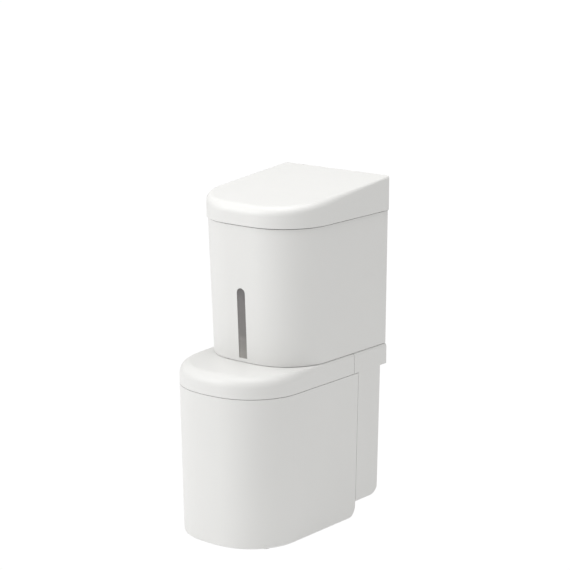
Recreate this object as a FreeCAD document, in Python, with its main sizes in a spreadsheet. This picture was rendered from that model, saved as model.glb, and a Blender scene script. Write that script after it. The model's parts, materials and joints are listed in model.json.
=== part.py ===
"""A slim two-tier waste compactor, built as a parametric assembly of its separate pieces.

Frame: millimetres, +Z up, the front faces -Y. The origin is on the floor, under the middle of the
overall plan. The lower tier is a D-shaped drawer under a hood; the upper tier is a tower that holds the
belt-driven twin-screw press, with a hinged service lid on top.

Sizes holds the driving dimensions, Places the positions worked out from them.
"""
import FreeCAD, Part
import math
import os
from collections import namedtuple

import Sketcher
from FreeCAD import Rotation, Vector

doc = FreeCAD.newDocument("Compactor")
parts = {}

SIZES = {
    # envelope
    "overall_width": (305, "across the lid, the widest piece"),
    "overall_depth": (462, "bow of the hood to the rear of the tower"),
    "overall_height": (779, "floor to the high rear edge of the lid"),
    "seam_height": (345, "floor to the seam between bin and hood"),
    "hood_height": (47, "seam to the flat top of the hood"),
    "lid_height": (78, "tower seam to the high rear edge of the lid"),
    "lid_fall": (33, "drop of the lid's top from rear to front"),
    "tower_setback": (110, "bow of the hood to the tower's front, at the lid"),
    "deck_overhang": (25, "tower's rear beyond the spine's rear wall"),
    "spine_depth": (86, "rear wall of the spine to the rear of the bin"),
    "spine_clearance": (41, "floor to the underside of the spine"),
    "spine_round": (30, "rounding of the spine's lower rear edge"),
    "hood_step": (16, "rear of the hood in front of the rear of the bin"),
    # plan sections: half widths by inset from the lid, then drafts, corner and bow radii
    "lid_overhang": (3, "lid proud of the tower"),
    "body_inset": (5.5, "lid's side to the bin's side at the seam"),
    "bin_draft": (7, "narrowing of the bin all round, seam to floor"),
    "tower_draft": (5.5, "narrowing of each side of the tower, lid to hood"),
    "tower_front_draft": (15, "fall-back of the tower's front, lid to hood"),
    "bin_corner": (126, "front corner radius of the bin at the seam"),
    "bin_bow": (290, "radius of the bin's bowed front"),
    "tower_corner": (115, "front corner radius of the tower at the lid"),
    "tower_bow": (1200, "radius of the tower's front, nearly flat"),
    "tower_rear_corner": (14, "rear corner radius of the tower at the lid"),
    "tower_foot_rear_corner": (8, "rear corner radius of the tower at the hood"),
    # mouldings
    "skin": (3, "wall of the outer mouldings"),
    "seam": (1.2, "open seam between two mouldings"),
    "lid_seam": (2, "open seam under the lid"),
    "floor_gap": (4, "floor to the lower edge of the bin shell"),
    "bin_round": (5, "rounding of the bin's lower edge"),
    "bin_heel": (28, "rounding of the bin's lower rear corner, in side view"),
    "hood_round": (26, "rounding of the hood's top along the front"),
    "hood_shoulder": (18, "the same where the sides meet the corners"),
    "hood_side_round": (6, "the same along the sides beside the tower"),
    "lid_round": (22, "rounding of the lid's top along the front"),
    "lid_shoulder": (14, "the same where the sides meet the corners"),
    "lid_side_round": (8, "the same at the rear of the sides"),
    "lid_rear_round": (4, "the same along the rear"),
    "slot_width": (23, "sight slot in the tower's front"),
    "slot_low": (401, "floor to the flat lower end of the slot"),
    "slot_high": (560, "floor to the top of the slot's round end"),
    # steel frame
    "foot_height": (8, "floor to the base plate"),
    "foot_radius": (14, "rubber foot"),
    "foot_stud": (4, "radius of the foot's stud"),
    "plate": (3, "base plate and back frame sheet"),
    "press_plate": (4, "guide plate and drive plate"),
    "frame_gap": (12, "rear of the bin to the rear of the back frame's web"),
    "arm_width": (10, "cantilever arm"),
    "arm_height": (17, "cantilever arm"),
    "rod_radius": (6, "tie rod"),
    "rod_inset": (26, "tower's side at the hood to a tie rod's axis"),
    "rod_ahead": (48, "screw axes to the front tie rods"),
    "rod_behind": (62, "back frame's web to the rear tie rods"),
    "rod_play": (0.3, "radial play of a bolt or stud in its hole"),
    "nut_height": (8, "tie rod nut"),
    "nut_reach": (3.5, "tie rod's surface to the nut's corners"),
    "foot_inset": (34, "web's end to a foot's axis"),
    "foot_ahead": (78, "bow of the hood to the front feet"),
    "foot_behind": (20, "back frame's web to the rear feet"),
    "upturn_top": (52, "floor to the top of the base plate's upturn"),
    "opening_inset": (12, "tower's outside to the opening under it"),
    "neck_inset": (16, "tower's side at the hood to the narrow top of the back frame"),
    "plate_margin": (8, "tower's outside to the press plates"),
    "plate_behind": (10, "press plates' rear edge to the spine's rear wall"),
    "plate_corner": (8, "rear corners of the press plates"),
    "bush_wall": (3, "guide bush"),
    "bush_flange": (6, "guide bush flange, thick and proud of the tube's collar"),
    # press
    "stroke": (180, "travel of the ram"),
    "ram_thickness": (24, "ram plate with its rim"),
    "ram_floor": (5, "floor of the ram plate"),
    "ram_corner": (12, "rear corner radius of the ram plate"),
    "ram_lift": (4, "seam to the underside of the raised ram"),
    "screw_offset": (80, "axis of each lead screw from the middle"),
    "screw_ahead": (46, "tower's front at the hood to the screws' axes"),
    "screw_radius": (8, "lead screw"),
    "tube_radius": (14, "outside of the ram tube"),
    "tube_wall": (3, "ram tube"),
    "seat_play": (0.05, "radial play of a seat on a fixed shaft"),
    "run_clearance": (0.05, "radial running clearance of a shaft in its bore"),
    "drive_height": (640, "floor to the underside of the drive plate"),
    "pulley_radius": (33, "belt seat of the screw pulleys"),
    "pinion_radius": (11, "belt seat of the motor pulley"),
    "belt_width": (8, "drive belt"),
    "belt_thickness": (3, "drive belt"),
    "motor_radius": (42, "motor can"),
    "motor_length": (100, "motor can"),
    "motor_behind": (180, "screw axes to the motor's axis"),
    "shaft_radius": (5, "motor shaft"),
    "shaft_hole": (12, "radius of the drive plate's hole round the motor shaft"),
    "motor_mount": (6, "motor's mounting flange"),
    "bearing_flange": (24, "radius of a screw bearing's flange"),
    "bearing_boss": (17, "radius of a screw bearing's boss"),
    "bearing_height": (12, "screw bearing above the drive plate"),
    "pulley_flange": (3, "pulley flange beyond its seat"),
    "pulley_side": (1.5, "pulley flange, thick"),
    "belt_play": (1, "belt's edge to a pulley flange"),
    "belt_gap": (0.35, "pulley seat to the belt"),
    "collar_reach": (4, "lead screw's surface to its collar's edge"),
    "collar_height": (2.9, "collar of a lead screw"),
    "collar_gap": (0.4, "collar to the drive plate"),
    "ram_margin": (9.5, "bucket's outside to the ram plate, all round"),
    "wiper_reach": (2.5, "wiper beyond the ram plate"),
    "rib_offset": (36, "ram's stiffening ribs from the middle"),
    "rib_width": (4, "ram's stiffening ribs and rim"),
    "crosshead_margin": (5, "tube's outside to the crosshead's edge"),
    # drawer
    "bucket_wall": (2.5, "waste bucket"),
    "bucket_gap": (16, "bin's outside to the bucket's outside"),
    "bucket_low": (64, "floor to the underside of the bucket"),
    "rim_drop": (7, "seam down to the bucket's rim"),
    "bucket_rear_gap": (36, "rear of the bin to the rear of the bucket"),
    "bucket_draft": (3, "narrowing of the bucket, rim to floor"),
    "bucket_corner": (20, "rear corner radius of the bucket"),
    "bucket_rim": (1.5, "bucket's rolled rim beyond its wall"),
    "sheet": (2, "drawer sheet metal"),
    "wing_low": (20, "floor to the lower edge of the chassis wings"),
    "kerb_inset": (7, "bucket's outside to the kerb that it stands on"),
    "kerb_width": (6, "the kerb"),
    "bucket_play": (0.5, "kerb to the bucket's underside"),
    "window_half": (70, "half width of the window in the drawer's back"),
    "window_low": (120, "floor to the window's lower edge"),
    "window_drop": (75, "seam down to the window's upper edge"),
    "grip_half": (32, "half width of the bucket's grip"),
    "grip_low": (34, "bucket's rim down to the grip's lower edge"),
    "grip_high": (12, "bucket's rim down to the grip's upper edge"),
    "chassis_height": (58.5, "floor to the underside of the chassis floor"),
    "slide_offset": (77, "outer face of the slides from the middle"),
    "slide_height": (43, "outer slide member"),
    "slide_length": (283, "every slide member"),
    "slide_sheet": (1.5, "slide member sheet"),
    "slide_gap": (1.5, "between nested slide members"),
    "pad_gap": (0.3, "between a slide pad and the member it runs in"),
    "outer_width": (12, "outer slide member, across"),
    "middle_width": (9, "middle slide member, across"),
    "inner_reach": (14.5, "slide's outer face to the inner member's web"),
    "inner_width": (8, "inner slide member, across"),
    "pad_length": (30, "slide pad"),
    "catch_gap": (0.5, "catch magnet to its plate"),
    # lid and controls
    "hinge_offset": (80, "middle of each lid hinge from the middle"),
    "hinge_barrel": (3.9, "radius of the hinge barrels"),
    "hinge_pin": (2, "radius of the hinge pins"),
    "spine_corner": (6, "upright rear corners of the spine"),
    "cover_half": (100, "half width of the rear service cover"),
    "cover_low": (183, "floor to the lower edge of the service cover"),
    "cover_high": (279, "floor to the upper edge of the service cover"),
    "inlet_x": (70, "mains inlet's middle from the middle plane"),
    "inlet_z": (148, "floor to the mains inlet's middle"),
    "wall_hole_x": (80, "wall screw holes from the middle plane"),
    "wall_hole_z": (320, "floor to the wall screw holes"),
    "wall_hole_radius": (2.25, "wall screw holes"),
    "vent_low": (520, "floor to the lowest vent in the tower's rear"),
    "vent_pitch": (12, "between vents"),
    "vent_gap": (5, "height of a vent"),
    "button_radius": (9, "press buttons"),
    "knob_radius": (12, "mode knob"),
    "button_x": (30, "press buttons from the middle"),
    "panel_depth": (34, "control panel, front to rear"),
    "panel_half": (84, "half width of the control panel"),
    "screw_head": (4, "radius of the small screw heads"),
    "screw_shank": (2, "radius of the small screws"),
    "cover_sheet": (4, "service cover"),
    "cover_lap": (8, "service cover over the edge of its hatch"),
    "bumper_depth": (7, "wall bumper"),
    "hinge_span": (20, "half length of a lid hinge"),
    "knuckle_half": (9, "half length of the gap between a hinge's lid lugs"),
    "button_gap": (0.3, "button to the panel's hole"),
    "tray_gap": (0.6, "service tray to the tower's wall"),
    "well_wall": (2, "wall of the tray's wells"),
    "well_depth": (24, "bag and filter wells below the tray's top"),
    "panel_drop": (8.5, "control panel's face below the tray's top"),
    "panel_well": (18, "panel well below the tray's top"),
}

sheet = doc.addObject("Spreadsheet::Sheet", "Sizes")
for row, (alias, (number, note)) in enumerate(SIZES.items(), start=1):
    sheet.set(f"A{row}", alias)
    sheet.set(f"B{row}", str(number))
    sheet.setAlias(f"B{row}", alias)
    sheet.set(f"C{row}", note)
doc.recompute()

PLACES = {
    # planes along Y
    "front": "-Sizes.overall_depth / 2",
    "rear": "Sizes.overall_depth / 2",
    "spine_rear": "Places.rear - Sizes.deck_overhang",
    "bin_rear": "Places.spine_rear - Sizes.spine_depth",
    "hood_rear": "Places.bin_rear - Sizes.hood_step",
    "tower_front": "Places.front + Sizes.tower_setback",
    "tower_foot_front": "Places.tower_front + Sizes.tower_front_draft",
    "lid_front": "Places.tower_front - Sizes.lid_overhang",
    "web_rear": "Places.bin_rear - Sizes.frame_gap",
    "web_front": "Places.web_rear - Sizes.plate",
    "bucket_rear": "Places.bin_rear - Sizes.bucket_rear_gap",
    "drawer_back": "Places.bucket_rear + 8",
    "screw_y": "Places.tower_foot_front + Sizes.screw_ahead",
    "motor_y": "Places.screw_y + Sizes.motor_behind",
    "hinge_y": "Places.rear - 4",
    # half widths
    "lid_half": "Sizes.overall_width / 2",
    "bin_half": "Places.lid_half - Sizes.body_inset",
    "bin_foot_half": "Places.bin_half - Sizes.bin_draft",
    "tower_half": "Places.lid_half - Sizes.lid_overhang",
    "tower_foot_half": "Places.tower_half - Sizes.tower_draft",
    "rod_x": "Places.tower_foot_half - Sizes.rod_inset",
    "web_half": "Places.bin_foot_half - Sizes.skin - 4",
    # front corner at the foot of the tower, which keeps its drafted wall smooth from bow to side
    "tower_lean": "(Places.tower_half - Sizes.tower_corner) / (Sizes.tower_bow - Sizes.tower_corner)",
    "tower_foot_corner": "Sizes.tower_corner - Sizes.tower_draft / (1 - Places.tower_lean)",
    # heights
    "hood_top": "Sizes.seam_height + Sizes.hood_height",
    "lid_low": "Sizes.overall_height - Sizes.lid_height + Sizes.lid_seam / 2",
    "tower_top": "Places.lid_low - Sizes.lid_seam",
    "tower_low": "Places.hood_top + Sizes.seam",
    "hood_low": "Sizes.seam_height + Sizes.seam / 2",
    "bin_top": "Sizes.seam_height - Sizes.seam / 2",
    "bucket_top": "Sizes.seam_height - Sizes.rim_drop",
    "base_top": "Sizes.foot_height + Sizes.plate",
    "ram_low": "Sizes.seam_height + Sizes.ram_lift",
    "ram_top": "Places.ram_low + Sizes.ram_thickness",
    "guide_top": "Places.hood_top + Sizes.press_plate",
    "drive_top": "Sizes.drive_height + Sizes.press_plate",
    "nut_top": "Sizes.drive_height - 4",
    "tube_top": "Places.nut_top - 14",
    "belt_low": "Places.drive_top + 16",
    "belt_high": "Places.belt_low + Sizes.belt_width",
    "hinge_z": "Places.lid_low + 4",
    "tray_top": "Places.tower_top - 0.5",
    "chassis_top": "Sizes.chassis_height + Sizes.sheet",
    # slides
    "slide_front": "Places.bucket_rear + 4 - Sizes.slide_length",
    "slide_rear": "Places.bucket_rear + 4",
}

at = doc.addObject("App::VarSet", "Places")
for name, rule in PLACES.items():
    at.addProperty("App::PropertyFloat", name)
    at.setExpression(name, rule)
doc.recompute()


# ---- building blocks -------------------------------------------------------------------------

Section = namedtuple("Section", "half front corner bow rear")
"""A D-shaped plan: half width, front plane, corner radius, bow radius and rear plane, as rules."""


def section(half, front, corner, bow, rear="Places.rear"):
    return Section(half, front, corner, bow, rear)


def inset(base, depth, rear):
    """The plan that lies depth inside base, closed by another rear plane."""
    return Section(
        f"{base.half} - ({depth})",
        f"{base.front} + ({depth})",
        f"{base.corner} - ({depth})",
        f"{base.bow} - ({depth})",
        rear,
    )


def size_of(rule):
    """The number that a rule of the sheet gives now."""
    return float(at.evalExpression(str(rule)))


def new_body(name):
    return doc.addObject("PartDesign::Body", name)


def plane_sketch(body, name, height, role="XY_Plane"):
    """An empty sketch on the body's own plane, raised to height."""
    sketch = body.newObject("Sketcher::SketchObject", name)
    plane = next(item for item in body.Origin.OriginFeatures if item.Role == role)
    sketch.AttachmentSupport = [(plane, "")]
    sketch.MapMode = "FlatFace"
    sketch.setExpression("AttachmentOffset.Base.z", str(height))
    return sketch


def constrain(sketch, kind, *entities, rule=None):
    """Add a constraint; a rule makes it a size bound to the sheet."""
    if rule is None:
        return sketch.addConstraint(Sketcher.Constraint(kind, *entities))
    index = sketch.addConstraint(Sketcher.Constraint(kind, *entities, size_of(rule)))
    sketch.setExpression(f"Constraints[{index}]", str(rule))
    return index


def draw_d(body, name, plan, height, rear_corner=None, split=None):
    """Sketch a D plan: rear line, sides, two corner arcs and the bowed front.

    A rear corner rounds the two rear corners; a split divides each side in two at that place along Y.
    """
    half, front, corner, bow, rear = (size_of(rule) for rule in plan)
    bow_y = front + bow
    side_y = bow_y - math.sqrt((bow - corner) ** 2 - (half - corner) ** 2)
    lean = math.atan2(side_y - bow_y, half - corner)
    turn = size_of(rear_corner) if rear_corner else 0
    break_y = size_of(split) if split else side_y

    def line(x1, y1, x2, y2):
        return Part.LineSegment(Vector(x1, y1, 0), Vector(x2, y2, 0))

    def arc(x, y, radius, first, last):
        return Part.ArcOfCircle(Part.Circle(Vector(x, y, 0), Vector(0, 0, 1), radius), first, last)

    outline = {
        "rear": line(half - turn, rear, turn - half, rear),
        "left_turn": arc(turn - half, rear - turn, turn, math.pi / 2, math.pi) if rear_corner else None,
        "left_side": line(-half, rear - turn, -half, break_y),
        "left_fore": line(-half, break_y, -half, side_y) if split else None,
        "left_corner": arc(corner - half, side_y, corner, math.pi, math.pi - lean),
        "bow": arc(0, bow_y, bow, math.pi - lean, 2 * math.pi + lean),
        "right_corner": arc(half - corner, side_y, corner, 2 * math.pi + lean, 2 * math.pi),
        "right_fore": line(half, side_y, half, break_y) if split else None,
        "right_side": line(half, break_y, half, rear - turn),
        "right_turn": arc(half - turn, rear - turn, turn, 0, math.pi / 2) if rear_corner else None,
    }
    outline = {edge: shape for edge, shape in outline.items() if shape}
    place = {edge: index for index, edge in enumerate(outline)}
    sketch = plane_sketch(body, name, height)
    sketch.addGeometry(list(outline.values()), False)
    edges = list(outline)
    for edge, following in zip(edges, edges[1:] + edges[:1]):
        straight = all(isinstance(outline[side], Part.LineSegment) for side in (edge, following))
        constrain(sketch, "Coincident" if straight else "Tangent", place[edge], 2, place[following], 1)
    for edge in edges:
        if edge.endswith(("side", "fore")):
            constrain(sketch, "Vertical", place[edge])
    constrain(sketch, "Symmetric", place["rear"], 1, place["rear"], 2, -2)
    constrain(sketch, "PointOnObject", place["bow"], 3, -2)
    constrain(sketch, "Equal", place["left_corner"], place["right_corner"])
    constrain(sketch, "Radius", place["left_corner"], rule=plan.corner)
    constrain(sketch, "Radius", place["bow"], rule=plan.bow)
    constrain(sketch, "DistanceX", -1, 1, place["right_side"], 2, rule=plan.half)
    constrain(sketch, "DistanceY", -1, 1, place["rear"], 1, rule=plan.rear)
    constrain(sketch, "DistanceY", -1, 1, place["bow"], 3, rule=f"{plan.front} + {plan.bow}")
    if rear_corner:
        constrain(sketch, "Equal", place["left_turn"], place["right_turn"])
        constrain(sketch, "Radius", place["left_turn"], rule=rear_corner)
    if split:
        constrain(sketch, "DistanceY", -1, 1, place["left_side"], 2, rule=split)
        constrain(sketch, "DistanceY", -1, 1, place["right_side"], 1, rule=split)
    return sketch


def loft_d(name, low, high, low_z, high_z, rear_corners=(None, None)):
    """A solid that runs straight from one D plan to another."""
    body = new_body(name)
    foot = draw_d(body, f"{name}_foot", low, low_z, rear_corners[0])
    head = draw_d(body, f"{name}_head", high, high_z, rear_corners[1])
    loft = body.newObject("PartDesign::AdditiveLoft", f"{name}_loft")
    loft.Profile = foot
    loft.Sections = [head]
    loft.Ruled = True
    return body


def pad_d(name, plan, low_z, high_z, rear_corner=None, split=None):
    """A D plan padded straight up."""
    body = new_body(name)
    profile = draw_d(body, f"{name}_plan", plan, low_z, rear_corner, split)
    pad = body.newObject("PartDesign::Pad", f"{name}_pad")
    pad.Profile = profile
    pad.Refine = False
    pad.setExpression("Length", f"({high_z}) - ({low_z})")
    return body


def box(name, x, y, z):
    """A block between low and high planes along each axis."""
    item = doc.addObject("Part::Box", name)
    for axis, length, (low, high) in zip("xyz", ("Length", "Width", "Height"), (x, y, z)):
        item.setExpression(length, f"({high}) - ({low})")
        item.setExpression(f"Placement.Base.{axis}", str(low))
    return item


def wide_box(name, half, y, z):
    """A block that is centred across the width."""
    return box(name, (f"-({half})", half), y, z)


TURNS = {
    "x": Rotation(Vector(0, 1, 0), 90),
    "y": Rotation(Vector(1, 0, 0), -90),
    "z": Rotation(),
}


def side_prism(name, points, half, shift=None):
    """A side-view outline of (y, z) rules, padded across the width, centred or shifted along X."""
    body = new_body(name)
    sketch = plane_sketch(body, f"{name}_outline", "0", "YZ_Plane")
    corners = [Vector(size_of(y), size_of(z), 0) for y, z in points]
    sketch.addGeometry([Part.LineSegment(a, b) for a, b in zip(corners, corners[1:] + corners[:1])], False)
    for index, (y, z) in enumerate(points):
        constrain(sketch, "Coincident", index, 2, (index + 1) % len(points), 1)
        constrain(sketch, "DistanceX", -1, 1, index, 1, rule=y)
        constrain(sketch, "DistanceY", -1, 1, index, 1, rule=z)
    pad = body.newObject("PartDesign::Pad", f"{name}_pad")
    pad.Profile = sketch
    pad.Midplane = True
    pad.setExpression("Length", f"2 * ({half})")
    if shift:
        body.setExpression("Placement.Base.x", shift)
    return body


def rod(name, radius, centre, span, axis="z"):
    """A cylinder along an axis; centre gives the other two coordinates in x, y, z order."""
    item = doc.addObject("Part::Cylinder", name)
    item.Placement = FreeCAD.Placement(Vector(), TURNS[axis])
    item.setExpression("Radius", str(radius))
    item.setExpression("Height", f"({span[1]}) - ({span[0]})")
    others = [letter for letter in "xyz" if letter != axis]
    item.setExpression(f"Placement.Base.{axis}", str(span[0]))
    for letter, rule in zip(others, centre):
        item.setExpression(f"Placement.Base.{letter}", str(rule))
    return item


def hexagon(name, radius, centre, span):
    """A hexagonal nut or bolt head, upright."""
    item = doc.addObject("Part::Prism", name)
    item.Polygon = 6
    item.setExpression("Circumradius", str(radius))
    item.setExpression("Height", f"({span[1]}) - ({span[0]})")
    for letter, rule in zip("xyz", (*centre, span[0])):
        item.setExpression(f"Placement.Base.{letter}", str(rule))
    return item


def fuse(name, *items):
    item = doc.addObject("Part::MultiFuse", name)
    item.Shapes = list(items)
    return item


def cut(name, base, *tools):
    item = doc.addObject("Part::Cut", name)
    item.Base = base
    item.Tool = tools[0] if len(tools) == 1 else fuse(f"{name}_tools", *tools)
    return item


def common(name, first, second):
    item = doc.addObject("Part::Common", name)
    item.Base = first
    item.Tool = second
    return item


def group(name, *items):
    """Separate solids kept together, such as a set of screws."""
    item = doc.addObject("Part::Compound", name)
    item.Links = list(items)
    return item


def mirror(name, item):
    """The same piece on the other side of the middle plane."""
    copy = doc.addObject("Part::Mirroring", name)
    copy.Source = item
    copy.Base = Vector()
    copy.Normal = Vector(1, 0, 0)
    return copy


def pair(name, item):
    return group(name, item, mirror(f"{name}_left", item))


def round_edges(name, base, radii):
    """Fillet base; radii maps an edge to its two end radii, or to nothing to leave it sharp."""
    doc.recompute()
    chosen = []
    for index, edge in enumerate(base.Shape.Edges, start=1):
        ends = radii(edge)
        if ends:
            chosen.append((index, *ends))
    item = doc.addObject("Part::Fillet", name)
    item.Base = base
    item.Edges = chosen
    return item


def part(name, item):
    """Take item as a finished piece of the assembly."""
    item.Label = name
    parts[name] = item
    return item


# ---- plans that several pieces share ---------------------------------------------------------

BIN_HEAD = section("Places.bin_half", "Places.front", "Sizes.bin_corner", "Sizes.bin_bow", "Places.bin_rear")
BIN_FOOT = inset(BIN_HEAD, "Sizes.bin_draft", "Places.bin_rear")
HOOD = inset(BIN_HEAD, 0, "Places.hood_rear")
TOWER_FOOT = section(
    "Places.tower_foot_half", "Places.tower_foot_front", "Places.tower_foot_corner", "Sizes.tower_bow"
)
TOWER_HEAD = section("Places.tower_half", "Places.tower_front", "Sizes.tower_corner", "Sizes.tower_bow")
LID = section(
    "Places.lid_half", "Places.lid_front", "Sizes.tower_corner + Sizes.lid_overhang", "Sizes.tower_bow"
)
SCREW_X = "Sizes.screw_offset"
SCREW_BORE = "Sizes.screw_radius + Sizes.run_clearance"
TUBE_BORE = "Sizes.tube_radius + Sizes.run_clearance"
GUIDE_PLAN = inset(TOWER_FOOT, "Sizes.plate_margin", "Places.spine_rear - Sizes.plate_behind")


def growing_radii(top, plan_half, side_start, side, shoulder, bow, rear=None):
    """Radii for a top edge loop: side radius at the rear, growing to the shoulders and the bow."""
    def radius_at(point):
        if point.y > side_start - 1:
            return side
        return shoulder if abs(abs(point.x) - plan_half) < 1 else bow

    def radii(edge):
        first = edge.firstVertex().Point
        last = edge.lastVertex().Point
        if min(first.z, last.z) < top(first.y) - 1 or abs(first.z - top(first.y)) > 1:
            return None
        if first.y > side_start + 1 and last.y > side_start + 1:
            return rear
        return radius_at(first), radius_at(last)
    return radii


# ---- mouldings -------------------------------------------------------------------------------

def slab(name, low, high):
    """A slab that covers the whole plan between two heights."""
    return wide_box(name, "Places.lid_half + 10", ("Places.front - 20", "Places.rear + 20"), (low, high))


def make_bin_shell():
    """The drawer's outer skin: open at the rear, with a foot flange, a ledge and a rim."""
    past = "Places.bin_rear + 10"
    body = wide_box("bin_body_zone", "Places.lid_half", ("Places.front - 20", "Places.bin_rear"),
                    ("0", "Sizes.seam_height"))
    drafted = loft_d("bin_drafted", inset(BIN_FOOT, 0, past), inset(BIN_HEAD, 0, past),
                     "Sizes.floor_gap", "Places.bin_top")
    outer = common("bin_outer", body, drafted)
    inner = loft_d("bin_inner", inset(BIN_FOOT, "Sizes.skin", past), inset(BIN_HEAD, "Sizes.skin", past),
                   "Sizes.floor_gap", "Places.bin_top")
    hollow = cut("bin_hollow", inner,
                 slab("bin_foot_zone", "0", "Sizes.floor_gap + Sizes.skin"),
                 slab("bin_rim_zone", "Places.bin_top - Sizes.skin", "Places.bin_top + 1"))
    web_room = wide_box("bin_web_room", "Places.web_half + 2", ("Places.web_front - 3", past),
                        ("Places.bin_top - 10", "Places.bin_top + 1"))
    foot_hole = pad_d("bin_foot_hole", inset(BIN_FOOT, 8, past), "Sizes.floor_gap - 1",
                      "Sizes.floor_gap + Sizes.skin + 1")
    rim_hole = pad_d("bin_rim_hole", inset(BIN_HEAD, "Sizes.bucket_gap - 2", "Places.bucket_rear + 3"),
                     "Places.bin_top - Sizes.skin - 1", "Places.bin_top + 1")
    radius = size_of("Sizes.bin_round")
    low = size_of("Sizes.floor_gap")
    rear = size_of("Places.bin_rear")

    def foot_edges(edge):
        bounds = edge.BoundBox
        return (radius, radius) if bounds.ZMax < low + 0.1 and bounds.YMin < rear - 1 else None

    rounded = round_edges("bin_rounded", outer, foot_edges)
    walls = cut("bin_walls", rounded, hollow, foot_hole, rim_hole, web_room)
    ledge_low = "Sizes.chassis_height - Sizes.skin"
    ledge = cut(
        "bin_ledge",
        pad_d("bin_ledge_outer", inset(BIN_FOOT, 1, "Places.drawer_back - 10"), ledge_low,
              "Sizes.chassis_height"),
        pad_d("bin_ledge_inner", inset(BIN_FOOT, "Sizes.bucket_gap", "Places.drawer_back + 10"),
              f"{ledge_low} - 1", "Sizes.chassis_height + 1"),
    )
    heel_y = "Places.bin_rear - Sizes.bin_heel"
    heel_z = "Sizes.floor_gap + Sizes.bin_heel"
    heel = cut(
        "bin_heel",
        wide_box("bin_heel_block", "Places.lid_half", (heel_y, "Places.bin_rear + 5"), ("0", heel_z)),
        rod("bin_heel_round", "Sizes.bin_heel", (heel_y, heel_z),
            ("-Places.lid_half - 5", "Places.lid_half + 5"), "x"),
    )
    part("bin_shell", cut("bin_shell", fuse("bin_whole", walls, ledge), heel))


def make_hood():
    """The hood over the drawer, its top rounding growing from the sides to the bow."""
    side_start = "Places.tower_foot_front + Places.tower_foot_corner"

    def rounded(name, plan, high, thinner):
        block = pad_d(f"{name}_block", plan, "Places.hood_low", high, split=side_start)
        radii = growing_radii(
            lambda y: size_of(high),
            size_of(plan.half),
            size_of(side_start),
            size_of("Sizes.hood_side_round") - thinner,
            size_of("Sizes.hood_shoulder") - thinner,
            size_of("Sizes.hood_round") - thinner,
        )
        return round_edges(f"{name}_rounded", block, radii)

    outer = rounded("hood_outer", HOOD, "Places.hood_top", 0)
    inner = rounded("hood_inner", inset(HOOD, "Sizes.skin", "Places.hood_rear + 10"),
                    "Places.hood_top - Sizes.skin", size_of("Sizes.skin"))
    opening = pad_d("hood_opening", inset(TOWER_FOOT, "Sizes.opening_inset", "Places.hood_rear + 10"),
                    "Places.hood_top - 12", "Places.hood_top + 5")
    part("hood", cut("hood", outer, inner, opening))


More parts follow.
